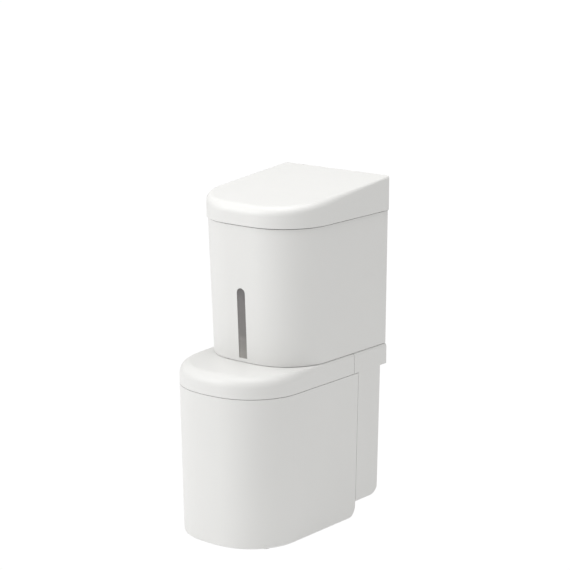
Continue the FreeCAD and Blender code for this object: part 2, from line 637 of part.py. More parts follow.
def make_rear_housing():
    """The rear moulding: the raised spine behind the bin and the deck above it, under the tower."""
    low = "Sizes.spine_clearance"
    high = "Sizes.seam_height"
    lean = f"Sizes.bin_draft * ({high} - {low}) / ({high} - Sizes.floor_gap)"
    fore = "Places.bin_rear + Sizes.seam"

    def spine(name, thinner, front_y):
        body = new_body(name)
        outlines = []
        for level, half, z in (("foot", f"Places.bin_half - {lean}", f"{low} + {thinner}"),
                               ("head", "Places.bin_half", f"{high} + 5")):
            wide = size_of(f"{half} - {thinner}")
            first = size_of(front_y)
            last = size_of("Places.rear")
            corners = [Vector(x, y, 0) for x, y in ((-wide, first), (wide, first), (wide, last), (-wide, last))]
            sketch = plane_sketch(body, f"{name}_{level}", z)
            sides = [Part.LineSegment(a, b) for a, b in zip(corners, corners[1:] + corners[:1])]
            sketch.addGeometry(sides, False)
            for index in range(4):
                constrain(sketch, "Coincident", index, 2, (index + 1) % 4, 1)
            constrain(sketch, "Symmetric", 0, 1, 0, 2, -2)
            constrain(sketch, "Vertical", 1)
            constrain(sketch, "Vertical", 3)
            constrain(sketch, "Horizontal", 2)
            constrain(sketch, "DistanceX", -1, 1, 0, 2, rule=f"{half} - {thinner}")
            constrain(sketch, "DistanceY", -1, 1, 0, 2, rule=front_y)
            constrain(sketch, "DistanceY", -1, 1, 2, 1, rule="Places.rear")
            outlines.append(sketch)
        loft = body.newObject("PartDesign::AdditiveLoft", f"{name}_loft")
        loft.Profile = outlines[0]
        loft.Sections = outlines[1:]
        loft.Ruled = True
        block = common(f"{name}_block", body, wide_box(f"{name}_zone", "Places.lid_half",
                                                       ("Places.front", f"Places.spine_rear - {thinner}"),
                                                       ("0", f"{high} + 4")))
        radius = size_of(f"Sizes.spine_round - {thinner}")
        corner = size_of(f"Sizes.spine_corner - {thinner}")
        level_z = size_of(f"{low} + {thinner}")
        rear_y = size_of(f"Places.spine_rear - {thinner}")

        def radii(edge):
            bounds = edge.BoundBox
            if bounds.YMin < rear_y - 0.1:
                return None
            if bounds.ZMax < level_z + 0.1:
                return radius, radius
            return (corner, corner) if bounds.ZLength > 100 else None
        return round_edges(f"{name}_rounded", block, radii)

    def deck(name, thinner, front_y, bottom):
        block = wide_box(name, f"Places.bin_half - {thinner}", (front_y, f"Places.rear - {thinner}"),
                         (bottom, f"Places.hood_top - {thinner}"))
        corner = size_of(f"Sizes.tower_foot_rear_corner - {thinner}")
        edge_round = size_of(f"Sizes.hood_side_round - {thinner}")
        top = size_of(f"Places.hood_top - {thinner}")
        rear_y = size_of(f"Places.rear - {thinner}")

        def upright(edge):
            bounds = edge.BoundBox
            return (corner, corner) if bounds.ZLength > 10 and bounds.YMin > rear_y - 0.1 else None

        def along_top(edge):
            bounds = edge.BoundBox
            level = bounds.ZMin > top - 0.1
            return (edge_round, edge_round) if level and bounds.YMax > size_of(front_y) + 1 else None
        return round_edges(f"{name}_top", round_edges(f"{name}_corners", block, upright), along_top)

    outer = fuse("housing_outer", spine("spine_outer", 0, fore),
                 deck("deck_outer", 0, "Places.hood_rear + Sizes.seam", "Places.hood_low"))
    inner = fuse("housing_inner", spine("spine_inner", "Sizes.skin", "Places.bin_rear - 5"),
                 deck("deck_inner", "Sizes.skin", "Places.hood_rear - 5", "Places.hood_low + Sizes.skin"))
    opening = wide_box("deck_opening", "Places.tower_foot_half - Sizes.opening_inset",
                       ("Places.hood_rear - 5", "Places.rear - 16"),
                       ("Places.hood_top - 10", "Places.hood_top + 5"))
    hatch = wide_box("spine_hatch", "Sizes.cover_half - 10",
                     ("Places.spine_rear - 10", "Places.spine_rear + 5"),
                     ("Sizes.cover_low + Sizes.cover_lap", "Sizes.cover_high - Sizes.cover_lap"))
    web_slot = wide_box("deck_web_slot", "Places.web_half + 1", ("Places.hood_rear - 5", "Places.bin_rear + 2"),
                        ("Places.hood_low - 1", "Places.hood_low + Sizes.skin + 1"))
    inlet = box("inlet_window", ("Sizes.inlet_x - 14", "Sizes.inlet_x + 14"),
                ("Places.spine_rear - 10", "Places.spine_rear + 5"),
                ("Sizes.inlet_z - 10.5", "Sizes.inlet_z + 10.5"))
    wall_hole = rod("wall_hole", "Sizes.wall_hole_radius", ("Sizes.wall_hole_x", "Sizes.wall_hole_z"),
                    ("Places.spine_rear - 10", "Places.spine_rear + 5"), "y")
    part("rear_housing", cut("rear_housing", outer, inner, opening, hatch, web_slot, inlet,
                             pair("wall_holes", wall_hole)))


def slot_prism(name, half, low, high, reach):
    """A block with a round top, run through the tower's front at the sight slot."""
    across = (f"Places.tower_front - {reach}", f"Places.tower_foot_front + {reach}")
    straight = wide_box(f"{name}_straight", half, across, (low, f"{high} - ({half})"))
    arch = rod(f"{name}_arch", half, ("0", f"{high} - ({half})"), across, "y")
    return fuse(name, straight, arch)


def tower_core(name, depth, low, high):
    """The drafted tower as a solid, depth inside its outer face."""
    corners = (f"Sizes.tower_foot_rear_corner - ({depth})", f"Sizes.tower_rear_corner - ({depth})")
    foot = inset(TOWER_FOOT, depth, f"Places.rear - ({depth})")
    head = inset(TOWER_HEAD, depth, f"Places.rear - ({depth})")
    body = loft_d(name, foot, head, "Places.tower_low", "Places.tower_top", corners)
    if low is None:
        return body
    return common(f"{name}_band", body, slab(f"{name}_zone", low, high))


def make_tower():
    """The tower's shell with its sight slot and rear vents, and the smoked window behind the slot."""
    outer = tower_core("tower_outer", "0", None, None)
    inner = tower_core("tower_inner", "Sizes.skin", None, None)
    half = "Sizes.slot_width / 2"
    slot = slot_prism("sight_slot", half, "Sizes.slot_low", "Sizes.slot_high", 8)
    vents = [
        wide_box(f"tower_vent_{index}", 45, ("Places.rear - 10", "Places.rear + 5"),
                 (f"Sizes.vent_low + {index} * Sizes.vent_pitch",
                  f"Sizes.vent_low + {index} * Sizes.vent_pitch + Sizes.vent_gap"))
        for index in range(8)
    ]
    part("tower_shell", cut("tower_shell", outer, inner, slot, *vents))
    face = "1.2"
    backing = "Sizes.skin + 2"
    pane_layer = cut("pane_layer", tower_core("pane_outer", face, "Sizes.slot_low", "Sizes.slot_high"),
                     tower_core("pane_inner", backing, "Sizes.slot_low - 20", "Sizes.slot_high + 20"))
    flange_layer = cut("flange_layer",
                       tower_core("flange_outer", "Sizes.skin", "Sizes.slot_low - 5", "Sizes.slot_high + 6"),
                       tower_core("flange_inner", backing, "Sizes.slot_low - 20", "Sizes.slot_high + 20"))
    pane = common("pane", pane_layer,
                  slot_prism("pane_prism", f"{half} - 0.2", "Sizes.slot_low + 0.2",
                             "Sizes.slot_high - 0.2", 12))
    flange = common("pane_flange", flange_layer,
                    slot_prism("flange_prism", f"{half} + 6", "Sizes.slot_low - 5", "Sizes.slot_high + 6", 12))
    part("sight_window", fuse("sight_window", pane, flange))


def make_lid():
    """The wedge-shaped service lid, its liner with hinge lugs, its gasket and the hinge pins."""
    fall = "Sizes.lid_fall / (Places.rear - Places.lid_front)"
    side_start = "Places.tower_front + Sizes.tower_corner"

    def top_at(y, thinner):
        return f"Sizes.overall_height - {thinner} - (Places.rear - ({y})) * {fall}"

    def wedge(name, thinner, low):
        plan = inset(LID, thinner, f"Places.rear - {thinner}")
        block = pad_d(f"{name}_block", plan, low, "Sizes.overall_height + 40",
                      f"Sizes.tower_rear_corner - {thinner}", side_start)
        fore = "Places.lid_front - 20"
        aft = "Places.rear + 20"
        outline = [(fore, f"{low} - 1"), (aft, f"{low} - 1"), (aft, top_at(aft, thinner)),
                   (fore, top_at(fore, thinner))]
        below = side_prism(f"{name}_below", outline, "Places.lid_half + 10")
        rounds = [size_of(f"Sizes.lid_{kind} - {thinner}") for kind in ("side_round", "shoulder", "round")]
        radii = growing_radii(lambda y: size_of(top_at(y, thinner)), size_of(plan.half), size_of(side_start),
                              *rounds, rear=(size_of(f"Sizes.lid_rear_round - {thinner}"),) * 2)
        return round_edges(f"{name}_rounded", common(f"{name}_wedge", block, below), radii)

    notch = box("hinge_notch", ("Sizes.hinge_offset - 20.5", "Sizes.hinge_offset + 20.5"),
                ("Places.rear - 12", "Places.rear + 5"), ("Places.lid_low - 2", "Places.hinge_z + 5"))
    part("top_lid", cut("top_lid", wedge("lid_outer", 0, "Places.lid_low"),
                        wedge("lid_inner", "Sizes.skin", "Places.lid_low - 5"), pair("hinge_notches", notch)))
    make_lid_fittings()


def make_lid_fittings():
    """Liner, gasket and hinges, all about one axis at the tower's upper rear edge."""
    hinge = ("Places.hinge_y", "Places.hinge_z")
    liner_low = "Places.lid_low + 1"
    liner_high = "Places.lid_low + 4"
    plate = pad_d("liner_plate", inset(LID, "Sizes.skin + 0.5", "Places.hinge_y"), liner_low, liner_high,
                  "Sizes.tower_rear_corner - Sizes.skin - 1")
    lug_in = ("Sizes.hinge_offset - Sizes.hinge_span", "Sizes.hinge_offset - Sizes.knuckle_half")
    lug_out = ("Sizes.hinge_offset + Sizes.knuckle_half", "Sizes.hinge_offset + Sizes.hinge_span")
    lugs = [rod(f"hinge_lug_{side}", "Sizes.hinge_barrel", hinge, span, "x")
            for side, span in (("in", lug_in), ("out", lug_out))]
    knuckle_gap = box("knuckle_gap", (lug_in[1], lug_out[0]),
                      ("Places.rear - 16", "Places.rear"), ("Places.lid_low", "Places.lid_low + 10"))
    bore = rod("lug_bore", "Sizes.hinge_pin", hinge,
               ("Sizes.hinge_offset - 30", "Sizes.hinge_offset + 30"), "x")
    blank = fuse("liner_blank", plate, *[pair(f"{lug.Name}_pair", lug) for lug in lugs])
    part("lid_liner", cut("lid_liner", blank, pair("knuckle_gaps", knuckle_gap), pair("lug_bores", bore)))
    gasket_rear = "Places.rear - Sizes.skin - 12"
    ring = cut("gasket_ring",
               pad_d("gasket_outer", inset(LID, "Sizes.skin + 8", gasket_rear), "Places.tray_top + 0.5",
                     liner_low),
               pad_d("gasket_inner", inset(LID, "Sizes.skin + 12", f"{gasket_rear} - 4"), "Places.tray_top",
                     liner_high))
    part("lid_gasket", ring)
    pin = rod("hinge_pin", "Sizes.hinge_pin", hinge, (lug_in[0], lug_out[1]), "x")
    part("hinge_pins", pair("hinge_pins", pin))
    across = ("Sizes.hinge_offset - Sizes.knuckle_half + 0.5", "Sizes.hinge_offset + Sizes.knuckle_half - 0.5")
    barrel = rod("bracket_barrel", "Sizes.hinge_barrel", hinge, across, "x")
    leg = box("bracket_leg", across, ("Places.hinge_y - 3.5", "Places.hinge_y - 1"),
              ("Places.tower_top - 24", "Places.hinge_z"))
    foot = box("bracket_foot", across, ("Places.hinge_y - 3.5", "Places.rear - Sizes.skin"),
               ("Places.tower_top - 24", "Places.tower_top - 14"))
    running = rod("bracket_bore", "Sizes.hinge_pin + Sizes.run_clearance", hinge, (lug_in[0], lug_out[1]), "x")
    bracket = cut("bracket", fuse("bracket_blank", barrel, leg, foot), running)
    part("hinge_brackets", pair("hinge_brackets", bracket))


# ---- steel frame and press -------------------------------------------------------------------

def make_frame():
    """Base plate on four feet, the back frame, its arms, and the press plates on four tie rods."""
    base_plan = inset(BIN_FOOT, "Sizes.skin + 6", "Places.web_front - 2")
    stud_x = "Places.web_half - Sizes.foot_inset"
    stud_places = {"front": "Places.front + Sizes.foot_ahead", "rear": "Places.web_front - Sizes.foot_behind"}
    base = pad_d("base_sheet", base_plan, "Sizes.foot_height", "Places.base_top")
    holes = [pair(f"stud_hole_{end}", rod(f"stud_bore_{end}", "Sizes.foot_stud + Sizes.rod_play", (stud_x, y),
                                          ("Sizes.foot_height - 1", "Places.base_top + 1")))
             for end, y in stud_places.items()]
    upturn = wide_box("base_upturn", "Places.web_half", ("Places.web_front - Sizes.plate", "Places.web_front"),
                      ("Sizes.foot_height", "Sizes.upturn_top"))
    part("base_plate", cut("base_plate", fuse("base_blank", base, upturn), *holes))
    feet = []
    for end, y in stud_places.items():
        pad = rod(f"foot_pad_{end}", "Sizes.foot_radius", (stud_x, y), ("0", "Sizes.foot_height"))
        stud = rod(f"foot_stud_{end}", "Sizes.foot_stud", (stud_x, y),
                   ("Sizes.foot_height - 1", "Places.base_top"))
        feet.append(pair(f"feet_{end}", fuse(f"foot_{end}", pad, stud)))
    part("foot_pads", group("foot_pads", *feet))
    web = wide_box("frame_web", "Places.web_half", ("Places.web_front", "Places.web_rear"),
                   ("Sizes.foot_height + 6", "Places.hood_top - Sizes.skin - 2"))
    neck_half = "Places.tower_foot_half - Sizes.neck_inset"
    neck = wide_box("frame_neck", neck_half, ("Places.web_front", "Places.web_rear"),
                    ("Places.hood_top - 10", "Places.hood_top"))
    flange = box("frame_flange", ("Places.web_half - Sizes.plate", "Places.web_half"),
                 ("Places.web_rear", "Places.spine_rear - 16"),
                 ("Sizes.spine_clearance + 22", "Sizes.seam_height - 6"))
    shelf = wide_box("frame_shelf", neck_half, ("Places.web_rear", "Places.spine_rear - 16"),
                     ("Places.hood_top - Sizes.plate", "Places.hood_top"))
    frame = fuse("frame_blank", web, neck, pair("frame_flanges", flange), shelf)
    arm_x = "Sizes.screw_offset + Sizes.tube_radius + 4"
    arm = box("frame_arm", (arm_x, f"{arm_x} + Sizes.arm_width"), ("Places.screw_y + 10", "Places.web_front"),
              ("Places.hood_top - Sizes.arm_height", "Places.hood_top"))
    part("frame_arms", pair("frame_arms", arm))
    screw_bore = pair("drive_bores", rod("drive_bore", SCREW_BORE, (SCREW_X, "Places.screw_y"),
                                         ("Sizes.drive_height - 5", "Places.drive_top + 5")))
    bush_bore = pair("bush_seats", rod("bush_seat", "Sizes.tube_radius + Sizes.bush_wall",
                                       (SCREW_X, "Places.screw_y"),
                                       ("Places.hood_top - 5", "Places.guide_top + 5")))
    rods, nuts, rod_holes = [], [], []
    for end, y, seat in (("front", "Places.screw_y + Sizes.rod_ahead", "Places.hood_top"),
                         ("rear", "Places.web_rear + Sizes.rod_behind", "Places.hood_top - Sizes.plate")):
        place = ("Places.rod_x", y)
        bar = rod(f"tie_rod_{end}", "Sizes.rod_radius", place,
                  (f"{seat} - Sizes.nut_height - 3", "Places.drive_top + Sizes.nut_height + 4"))
        hole = rod(f"rod_hole_{end}", "Sizes.rod_radius + Sizes.rod_play", place,
                   ("Places.hood_top - 20", "Places.drive_top + 20"))
        rods.append(pair(f"tie_rods_{end}", bar))
        rod_holes.append(pair(f"rod_holes_{end}", hole))
        for level, span in (("low", (f"{seat} - Sizes.nut_height", seat)),
                            ("seat", ("Places.guide_top", "Places.guide_top + Sizes.nut_height")),
                            ("under", ("Sizes.drive_height - Sizes.nut_height", "Sizes.drive_height")),
                            ("top", ("Places.drive_top", "Places.drive_top + Sizes.nut_height"))):
            nut = cut(f"tie_nut_{end}_{level}",
                      hexagon(f"nut_blank_{end}_{level}", "Sizes.rod_radius + Sizes.nut_reach", place, span),
                      rod(f"nut_bore_{end}_{level}", "Sizes.rod_radius", place, span))
            nuts.append(pair(f"tie_nuts_{end}_{level}", nut))
    part("back_frame", cut("back_frame", frame, *rod_holes))
    part("tie_rods", group("tie_rods", *rods))
    part("tie_nuts", group("tie_nuts", *nuts))
    guide = pad_d("guide_sheet", GUIDE_PLAN, "Places.hood_top", "Places.guide_top", "Sizes.plate_corner")
    middle = wide_box("guide_window", "Sizes.screw_offset - 30", ("Places.screw_y - 10", "Places.motor_y + 40"),
                      ("Places.hood_top - 5", "Places.guide_top + 5"))
    part("guide_plate", cut("guide_plate", guide, middle, bush_bore, *rod_holes))
    drive = pad_d("drive_sheet", GUIDE_PLAN, "Sizes.drive_height", "Places.drive_top", "Sizes.plate_corner")
    shaft_hole = rod("shaft_hole", "Sizes.shaft_hole", ("0", "Places.motor_y"),
                     ("Sizes.drive_height - 5", "Places.drive_top + 5"))
    part("drive_plate", cut("drive_plate", drive, shaft_hole, screw_bore, *rod_holes))
    flange_ring = rod("bush_flange", "Sizes.tube_radius + Sizes.bush_wall + 5", (SCREW_X, "Places.screw_y"),
                      ("Places.guide_top", "Places.guide_top + Sizes.bush_flange"))
    barrel = rod("bush_barrel", "Sizes.tube_radius + Sizes.bush_wall", (SCREW_X, "Places.screw_y"),
                 ("Places.hood_top - 10", "Places.guide_top + 18"))
    bore = rod("bush_bore", TUBE_BORE, (SCREW_X, "Places.screw_y"),
               ("Places.hood_top - 20", "Places.guide_top + 30"))
    bush = cut("guide_bush", fuse("bush_blank", flange_ring, barrel), bore)
    part("guide_bushes", pair("guide_bushes", bush))
    bearing_flange = rod("bearing_flange", "Sizes.bearing_flange", (SCREW_X, "Places.screw_y"),
                         ("Places.drive_top", "Places.drive_top + 4"))
    boss = rod("bearing_boss", "Sizes.bearing_boss", (SCREW_X, "Places.screw_y"),
               ("Places.drive_top", "Places.drive_top + Sizes.bearing_height"))
    journal = rod("bearing_bore", SCREW_BORE, (SCREW_X, "Places.screw_y"),
                  ("Places.drive_top - 5", "Places.drive_top + Sizes.bearing_height + 5"))
    bearing = cut("screw_bearing", fuse("bearing_blank", bearing_flange, boss), journal)
    part("screw_bearings", pair("screw_bearings", bearing))


def make_screws():
    """The two lead screws, each hung from its bearing by a collar, and their belt pulleys."""
    for side, sign in (("left", "-"), ("right", "")):
        place = (f"{sign}Sizes.screw_offset", "Places.screw_y")
        shank = rod(f"screw_shank_{side}", "Sizes.screw_radius", place,
                    ("Places.hood_top + 4", "Places.belt_high + 4"))
        collar = rod(f"screw_collar_{side}", "Sizes.screw_radius + Sizes.collar_reach", place,
                     ("Sizes.drive_height - Sizes.collar_gap - Sizes.collar_height",
                      "Sizes.drive_height - Sizes.collar_gap"))
        part(f"lead_screw_{side}", fuse(f"lead_screw_{side}", shank, collar))
        part(f"pulley_{side}", pulley(f"pulley_{side}", place, "Sizes.pulley_radius", "Sizes.screw_radius"))


def pulley(name, place, seat, bore):
    """A belt pulley: a seat between two flanges."""
    low = "Places.belt_low - Sizes.belt_play"
    high = "Places.belt_high + Sizes.belt_play"
    edge = f"{seat} + Sizes.pulley_flange"
    body = fuse(
        f"{name}_blank",
        rod(f"{name}_seat", seat, place, (low, high)),
        rod(f"{name}_lower", edge, place, (f"{low} - Sizes.pulley_side", low)),
        rod(f"{name}_upper", edge, place, (high, f"{high} + Sizes.pulley_side")),
    )
    hole = rod(f"{name}_hole", f"{bore} + Sizes.seat_play", place, (f"{low} - 5", f"{high} + 5"))
    return cut(name, body, hole)


def belt_loop(growth):
    """The closed outline around the three pulleys, growth outside their seats, as a face."""
    screw = Vector(size_of(SCREW_X), size_of("Places.screw_y"), 0)
    motor = Vector(0, size_of("Places.motor_y"), 0)
    wide = size_of("Sizes.pulley_radius") + growth
    small = size_of("Sizes.pinion_radius") + growth
    run = motor - screw
    share = (wide - small) / run.Length
    along = run * (1 / run.Length)
    normal = along * share + Vector(along.y, -along.x, 0) * math.sqrt(1 - share ** 2)
    front = screw + Vector(0, -wide, 0)
    leave = screw + normal * wide
    reach = motor + normal * small
    middle = (normal + Vector(0, -1, 0)).normalize()

    def other(point):
        return Vector(-point.x, point.y, point.z)

    edges = [
        Part.makeLine(other(front), front),
        Part.Arc(front, screw + middle * wide, leave).toShape(),
        Part.makeLine(leave, reach),
        Part.Arc(reach, motor + Vector(0, small, 0), other(reach)).toShape(),
        Part.makeLine(other(reach), other(leave)),
        Part.Arc(other(leave), other(screw + middle * wide), other(front)).toShape(),
    ]
    return Part.Face(Part.Wire(edges))


def make_drive():
    """The motor under the drive plate, its shaft and pinion, and the belt round all three pulleys."""
    place = ("0", "Places.motor_y")
    low = "Sizes.drive_height - Sizes.motor_length"
    flange_low = "Sizes.drive_height - Sizes.motor_mount"
    can = rod("motor_can", "Sizes.motor_radius", place, (low, flange_low))
    mount = wide_box("motor_mount", "Sizes.motor_radius + 6", ("Places.motor_y - 40", "Places.motor_y + 40"),
                     (flange_low, "Sizes.drive_height"))
    cap = rod("motor_cap", "Sizes.motor_radius - 8", place, (f"{low} - 8", low))
    bore = rod("motor_bore", "Sizes.shaft_radius + Sizes.run_clearance", place,
               ("Sizes.drive_height - 60", "Sizes.drive_height + 5"))
    part("drive_motor", cut("drive_motor", fuse("motor_blank", can, mount, cap), bore))
    screws = []
    for name, x in (("left", "-Sizes.motor_radius"), ("right", "Sizes.motor_radius")):
        for row, y in (("front", "Places.motor_y - 33"), ("rear", "Places.motor_y + 33")):
            screws.append(hexagon(f"motor_screw_{name}_{row}", "Sizes.screw_head + 0.5", (x, y),
                                  ("Places.drive_top", "Places.drive_top + 4")))
    part("motor_screws", group("motor_screws", *screws))
    part("motor_shaft", rod("motor_shaft", "Sizes.shaft_radius", place,
                            ("Sizes.drive_height - 58", "Places.belt_high + 4")))
    part("motor_pulley", pulley("motor_pulley", place, "Sizes.pinion_radius", "Sizes.shaft_radius"))
    clearance = size_of("Sizes.belt_gap")
    belt = doc.addObject("Part::Feature", "drive_belt")
    ring = belt_loop(clearance + size_of("Sizes.belt_thickness")).cut(belt_loop(clearance))
    belt.Shape = ring.extrude(Vector(0, 0, size_of("Sizes.belt_width")))
    belt.setExpression("Placement.Base.z", "Places.belt_low")
    part("drive_belt", belt)


def make_ram():
    """The ram: a rimmed plate with a wiper, on two tubes that carry the nuts, crosshead and pointer."""
    plan = inset(BIN_HEAD, "Sizes.bucket_gap + Sizes.ram_margin", "Places.bucket_rear - Sizes.ram_margin")
    plate = pad_d("ram_blank", plan, "Places.ram_low", "Places.ram_top", "Sizes.ram_corner")
    floor_top = "Places.ram_low + Sizes.ram_floor"
    pocket = pad_d("ram_pocket", inset(plan, "Sizes.rib_width", f"{plan.rear} - Sizes.rib_width"), floor_top,
                   "Places.ram_top + 5", "Sizes.ram_corner - Sizes.rib_width")
    rib = box("ram_rib", ("Sizes.rib_offset", "Sizes.rib_offset + Sizes.rib_width"),
              (f"{plan.front} + 12", f"{plan.rear} - 2"),
              (f"{floor_top} - 1", "Places.ram_top - Sizes.rib_width"))
    part("ram_plate", fuse("ram_plate", cut("ram_dish", plate, pocket), pair("ram_ribs", rib)))
    wiper = cut("ram_wiper",
                pad_d("wiper_outer", inset(plan, "-Sizes.wiper_reach", f"{plan.rear} + Sizes.wiper_reach"),
                      "Places.ram_low + 2", "Places.ram_low + 7", "Sizes.ram_corner + Sizes.wiper_reach"),
                pad_d("wiper_inner", plan, "Places.ram_low", "Places.ram_low + 10", "Sizes.ram_corner"))
    part("ram_wiper", wiper)
    place = (SCREW_X, "Places.screw_y")
    inner = "Sizes.tube_radius - Sizes.tube_wall"
    tube_body = fuse("tube_blank",
                     rod("tube_long", "Sizes.tube_radius", place, (floor_top, "Places.tube_top")),
                     rod("tube_foot", "Sizes.tube_radius + 10", place, (floor_top, f"{floor_top} + 5")))
    tube_bore = rod("tube_bore", inner, place, (f"{floor_top} - 5", "Places.tube_top + 5"))
    part("ram_tubes", pair("ram_tubes", cut("ram_tube", tube_body, tube_bore)))
    nut_flange = rod("nut_flange", "Sizes.tube_radius + 6", place, ("Places.tube_top", "Places.tube_top + 6"))
    nut_body = rod("nut_body", "Sizes.tube_radius", place, ("Places.tube_top", "Places.nut_top"))
    thread = rod("nut_thread", SCREW_BORE, place, ("Places.tube_top - 5", "Places.nut_top + 5"))
    part("screw_nuts", pair("screw_nuts", cut("screw_nut", fuse("nut_blank", nut_flange, nut_body), thread)))
    reach = "Sizes.tube_radius + Sizes.crosshead_margin"
    bar = wide_box("crosshead_bar", f"{SCREW_X} + {reach}",
                   (f"Places.screw_y - ({reach})", f"Places.screw_y + {reach}"),
                   ("Places.tube_top - 22", "Places.tube_top - 10"))
    seats = pair("crosshead_seats", rod("crosshead_seat", "Sizes.tube_radius + Sizes.seat_play", place,
                                        ("Places.tube_top - 30", "Places.tube_top")))
    part("crosshead", cut("crosshead", bar, seats))
    pointer = wide_box("level_pointer", 7, ("Places.tower_foot_front + 10", f"Places.screw_y - ({reach})"),
                       ("Places.tube_top - 19", "Places.tube_top - 13"))
    part("level_pointer", pointer)


# ---- drawer ----------------------------------------------------------------------------------

def make_drawer():
    """The drawer's chassis and back panel, the lift-out bucket and the slides it runs on."""
    floor_plan = inset(BIN_FOOT, "Sizes.skin + 2", "Places.drawer_back")
    floor_level = ("Sizes.chassis_height", "Places.chassis_top")
    floor = pad_d("chassis_floor", floor_plan, *floor_level)
    wing_x = "Sizes.slide_offset - Sizes.inner_reach - Sizes.sheet"
    wing = box("chassis_wing", (wing_x, f"{wing_x} + Sizes.sheet"), ("Places.slide_front", "Places.slide_rear"),
               ("Sizes.wing_low", "Places.chassis_top"))
    lip = wide_box("chassis_lip", "50", ("Places.drawer_back - Sizes.sheet", "Places.drawer_back"),
                   ("Sizes.wing_low + 4", "Places.chassis_top"))
    kerb_plan = inset(BIN_HEAD, "Sizes.bucket_gap + Sizes.kerb_inset", "Places.bucket_rear - 4")
    kerb_level = (floor_level[0], "Sizes.bucket_low - Sizes.bucket_play")
    kerb_room = inset(kerb_plan, "Sizes.kerb_width", f"{kerb_plan.rear} - Sizes.kerb_width")
    kerb = cut("chassis_kerb", pad_d("kerb_outer", kerb_plan, *kerb_level),
               pad_d("kerb_inner", kerb_room, f"{kerb_level[0]} - 1", f"{kerb_level[1]} + 1"))
    part("drawer_chassis", fuse("drawer_chassis", floor, pair("chassis_wings", wing), lip, kerb))
    panel = wide_box("panel_blank", "Places.bin_foot_half - Sizes.skin - 3",
                     ("Places.drawer_back - Sizes.sheet", "Places.drawer_back"),
                     ("Places.chassis_top", "Places.bin_top - 6"))
    window = wide_box("panel_window", "Sizes.window_half",
                      ("Places.drawer_back - 10", "Places.drawer_back + 5"),
                      ("Sizes.window_low", "Sizes.seam_height - Sizes.window_drop"))
    part("drawer_back", cut("drawer_back", panel, window))
    make_bucket()
    make_slides()


def make_bucket():
    """The lift-out waste bucket: drafted walls, a floor, a rolled rim and a grip in its rear wall."""
    low, high = "Sizes.bucket_low", "Places.bucket_top"
    wall = "Sizes.bucket_wall"
    head = inset(BIN_HEAD, "Sizes.bucket_gap", "Places.bucket_rear")
    foot = inset(BIN_HEAD, "Sizes.bucket_gap + Sizes.bucket_draft", "Places.bucket_rear - Sizes.bucket_draft")
    turn = "Sizes.bucket_corner"
    outer = loft_d("bucket_outer", foot, head, low, f"{high} + 1", (turn, turn))
    inner = loft_d("bucket_inner", inset(foot, wall, f"{foot.rear} - {wall}"),
                   inset(head, wall, f"{head.rear} - {wall}"), low, f"{high} + 1",
                   (f"{turn} - {wall}", f"{turn} - {wall}"))
    hollow = common("bucket_hollow", inner, slab("bucket_hollow_zone", f"{low} + {wall}", f"{high} + 10"))
    shell = common("bucket_body", outer, slab("bucket_zone", low, high))
    rim_plan = inset(head, "-Sizes.bucket_rim", f"{head.rear} + Sizes.bucket_rim")
    rim = pad_d("bucket_rim", rim_plan, f"{high} - {wall}", high, f"{turn} + Sizes.bucket_rim")
    grip = wide_box("bucket_grip", "Sizes.grip_half", ("Places.bucket_rear - 20", "Places.bucket_rear + 20"),
                    (f"{high} - Sizes.grip_low", f"{high} - Sizes.grip_high"))
    part("waste_bucket", cut("waste_bucket", fuse("bucket_blank", shell, rim), hollow, grip))


def channel(name, outer_x, width, z, sheet_metal):
    """A slide member: an upright C channel, open towards the middle, at one side of the drawer."""
    span = ("Places.slide_front", "Places.slide_rear")
    block = box(f"{name}_block", (f"{outer_x} - {width}", outer_x), span, z)
    room = box(f"{name}_room", (f"{outer_x} - {width} - 1", f"{outer_x} - {sheet_metal}"),
               (f"{span[0]} - 1", f"{span[1]} + 1"), (f"{z[0]} + {sheet_metal}", f"{z[1]} - {sheet_metal}"))
    return cut(name, block, room)


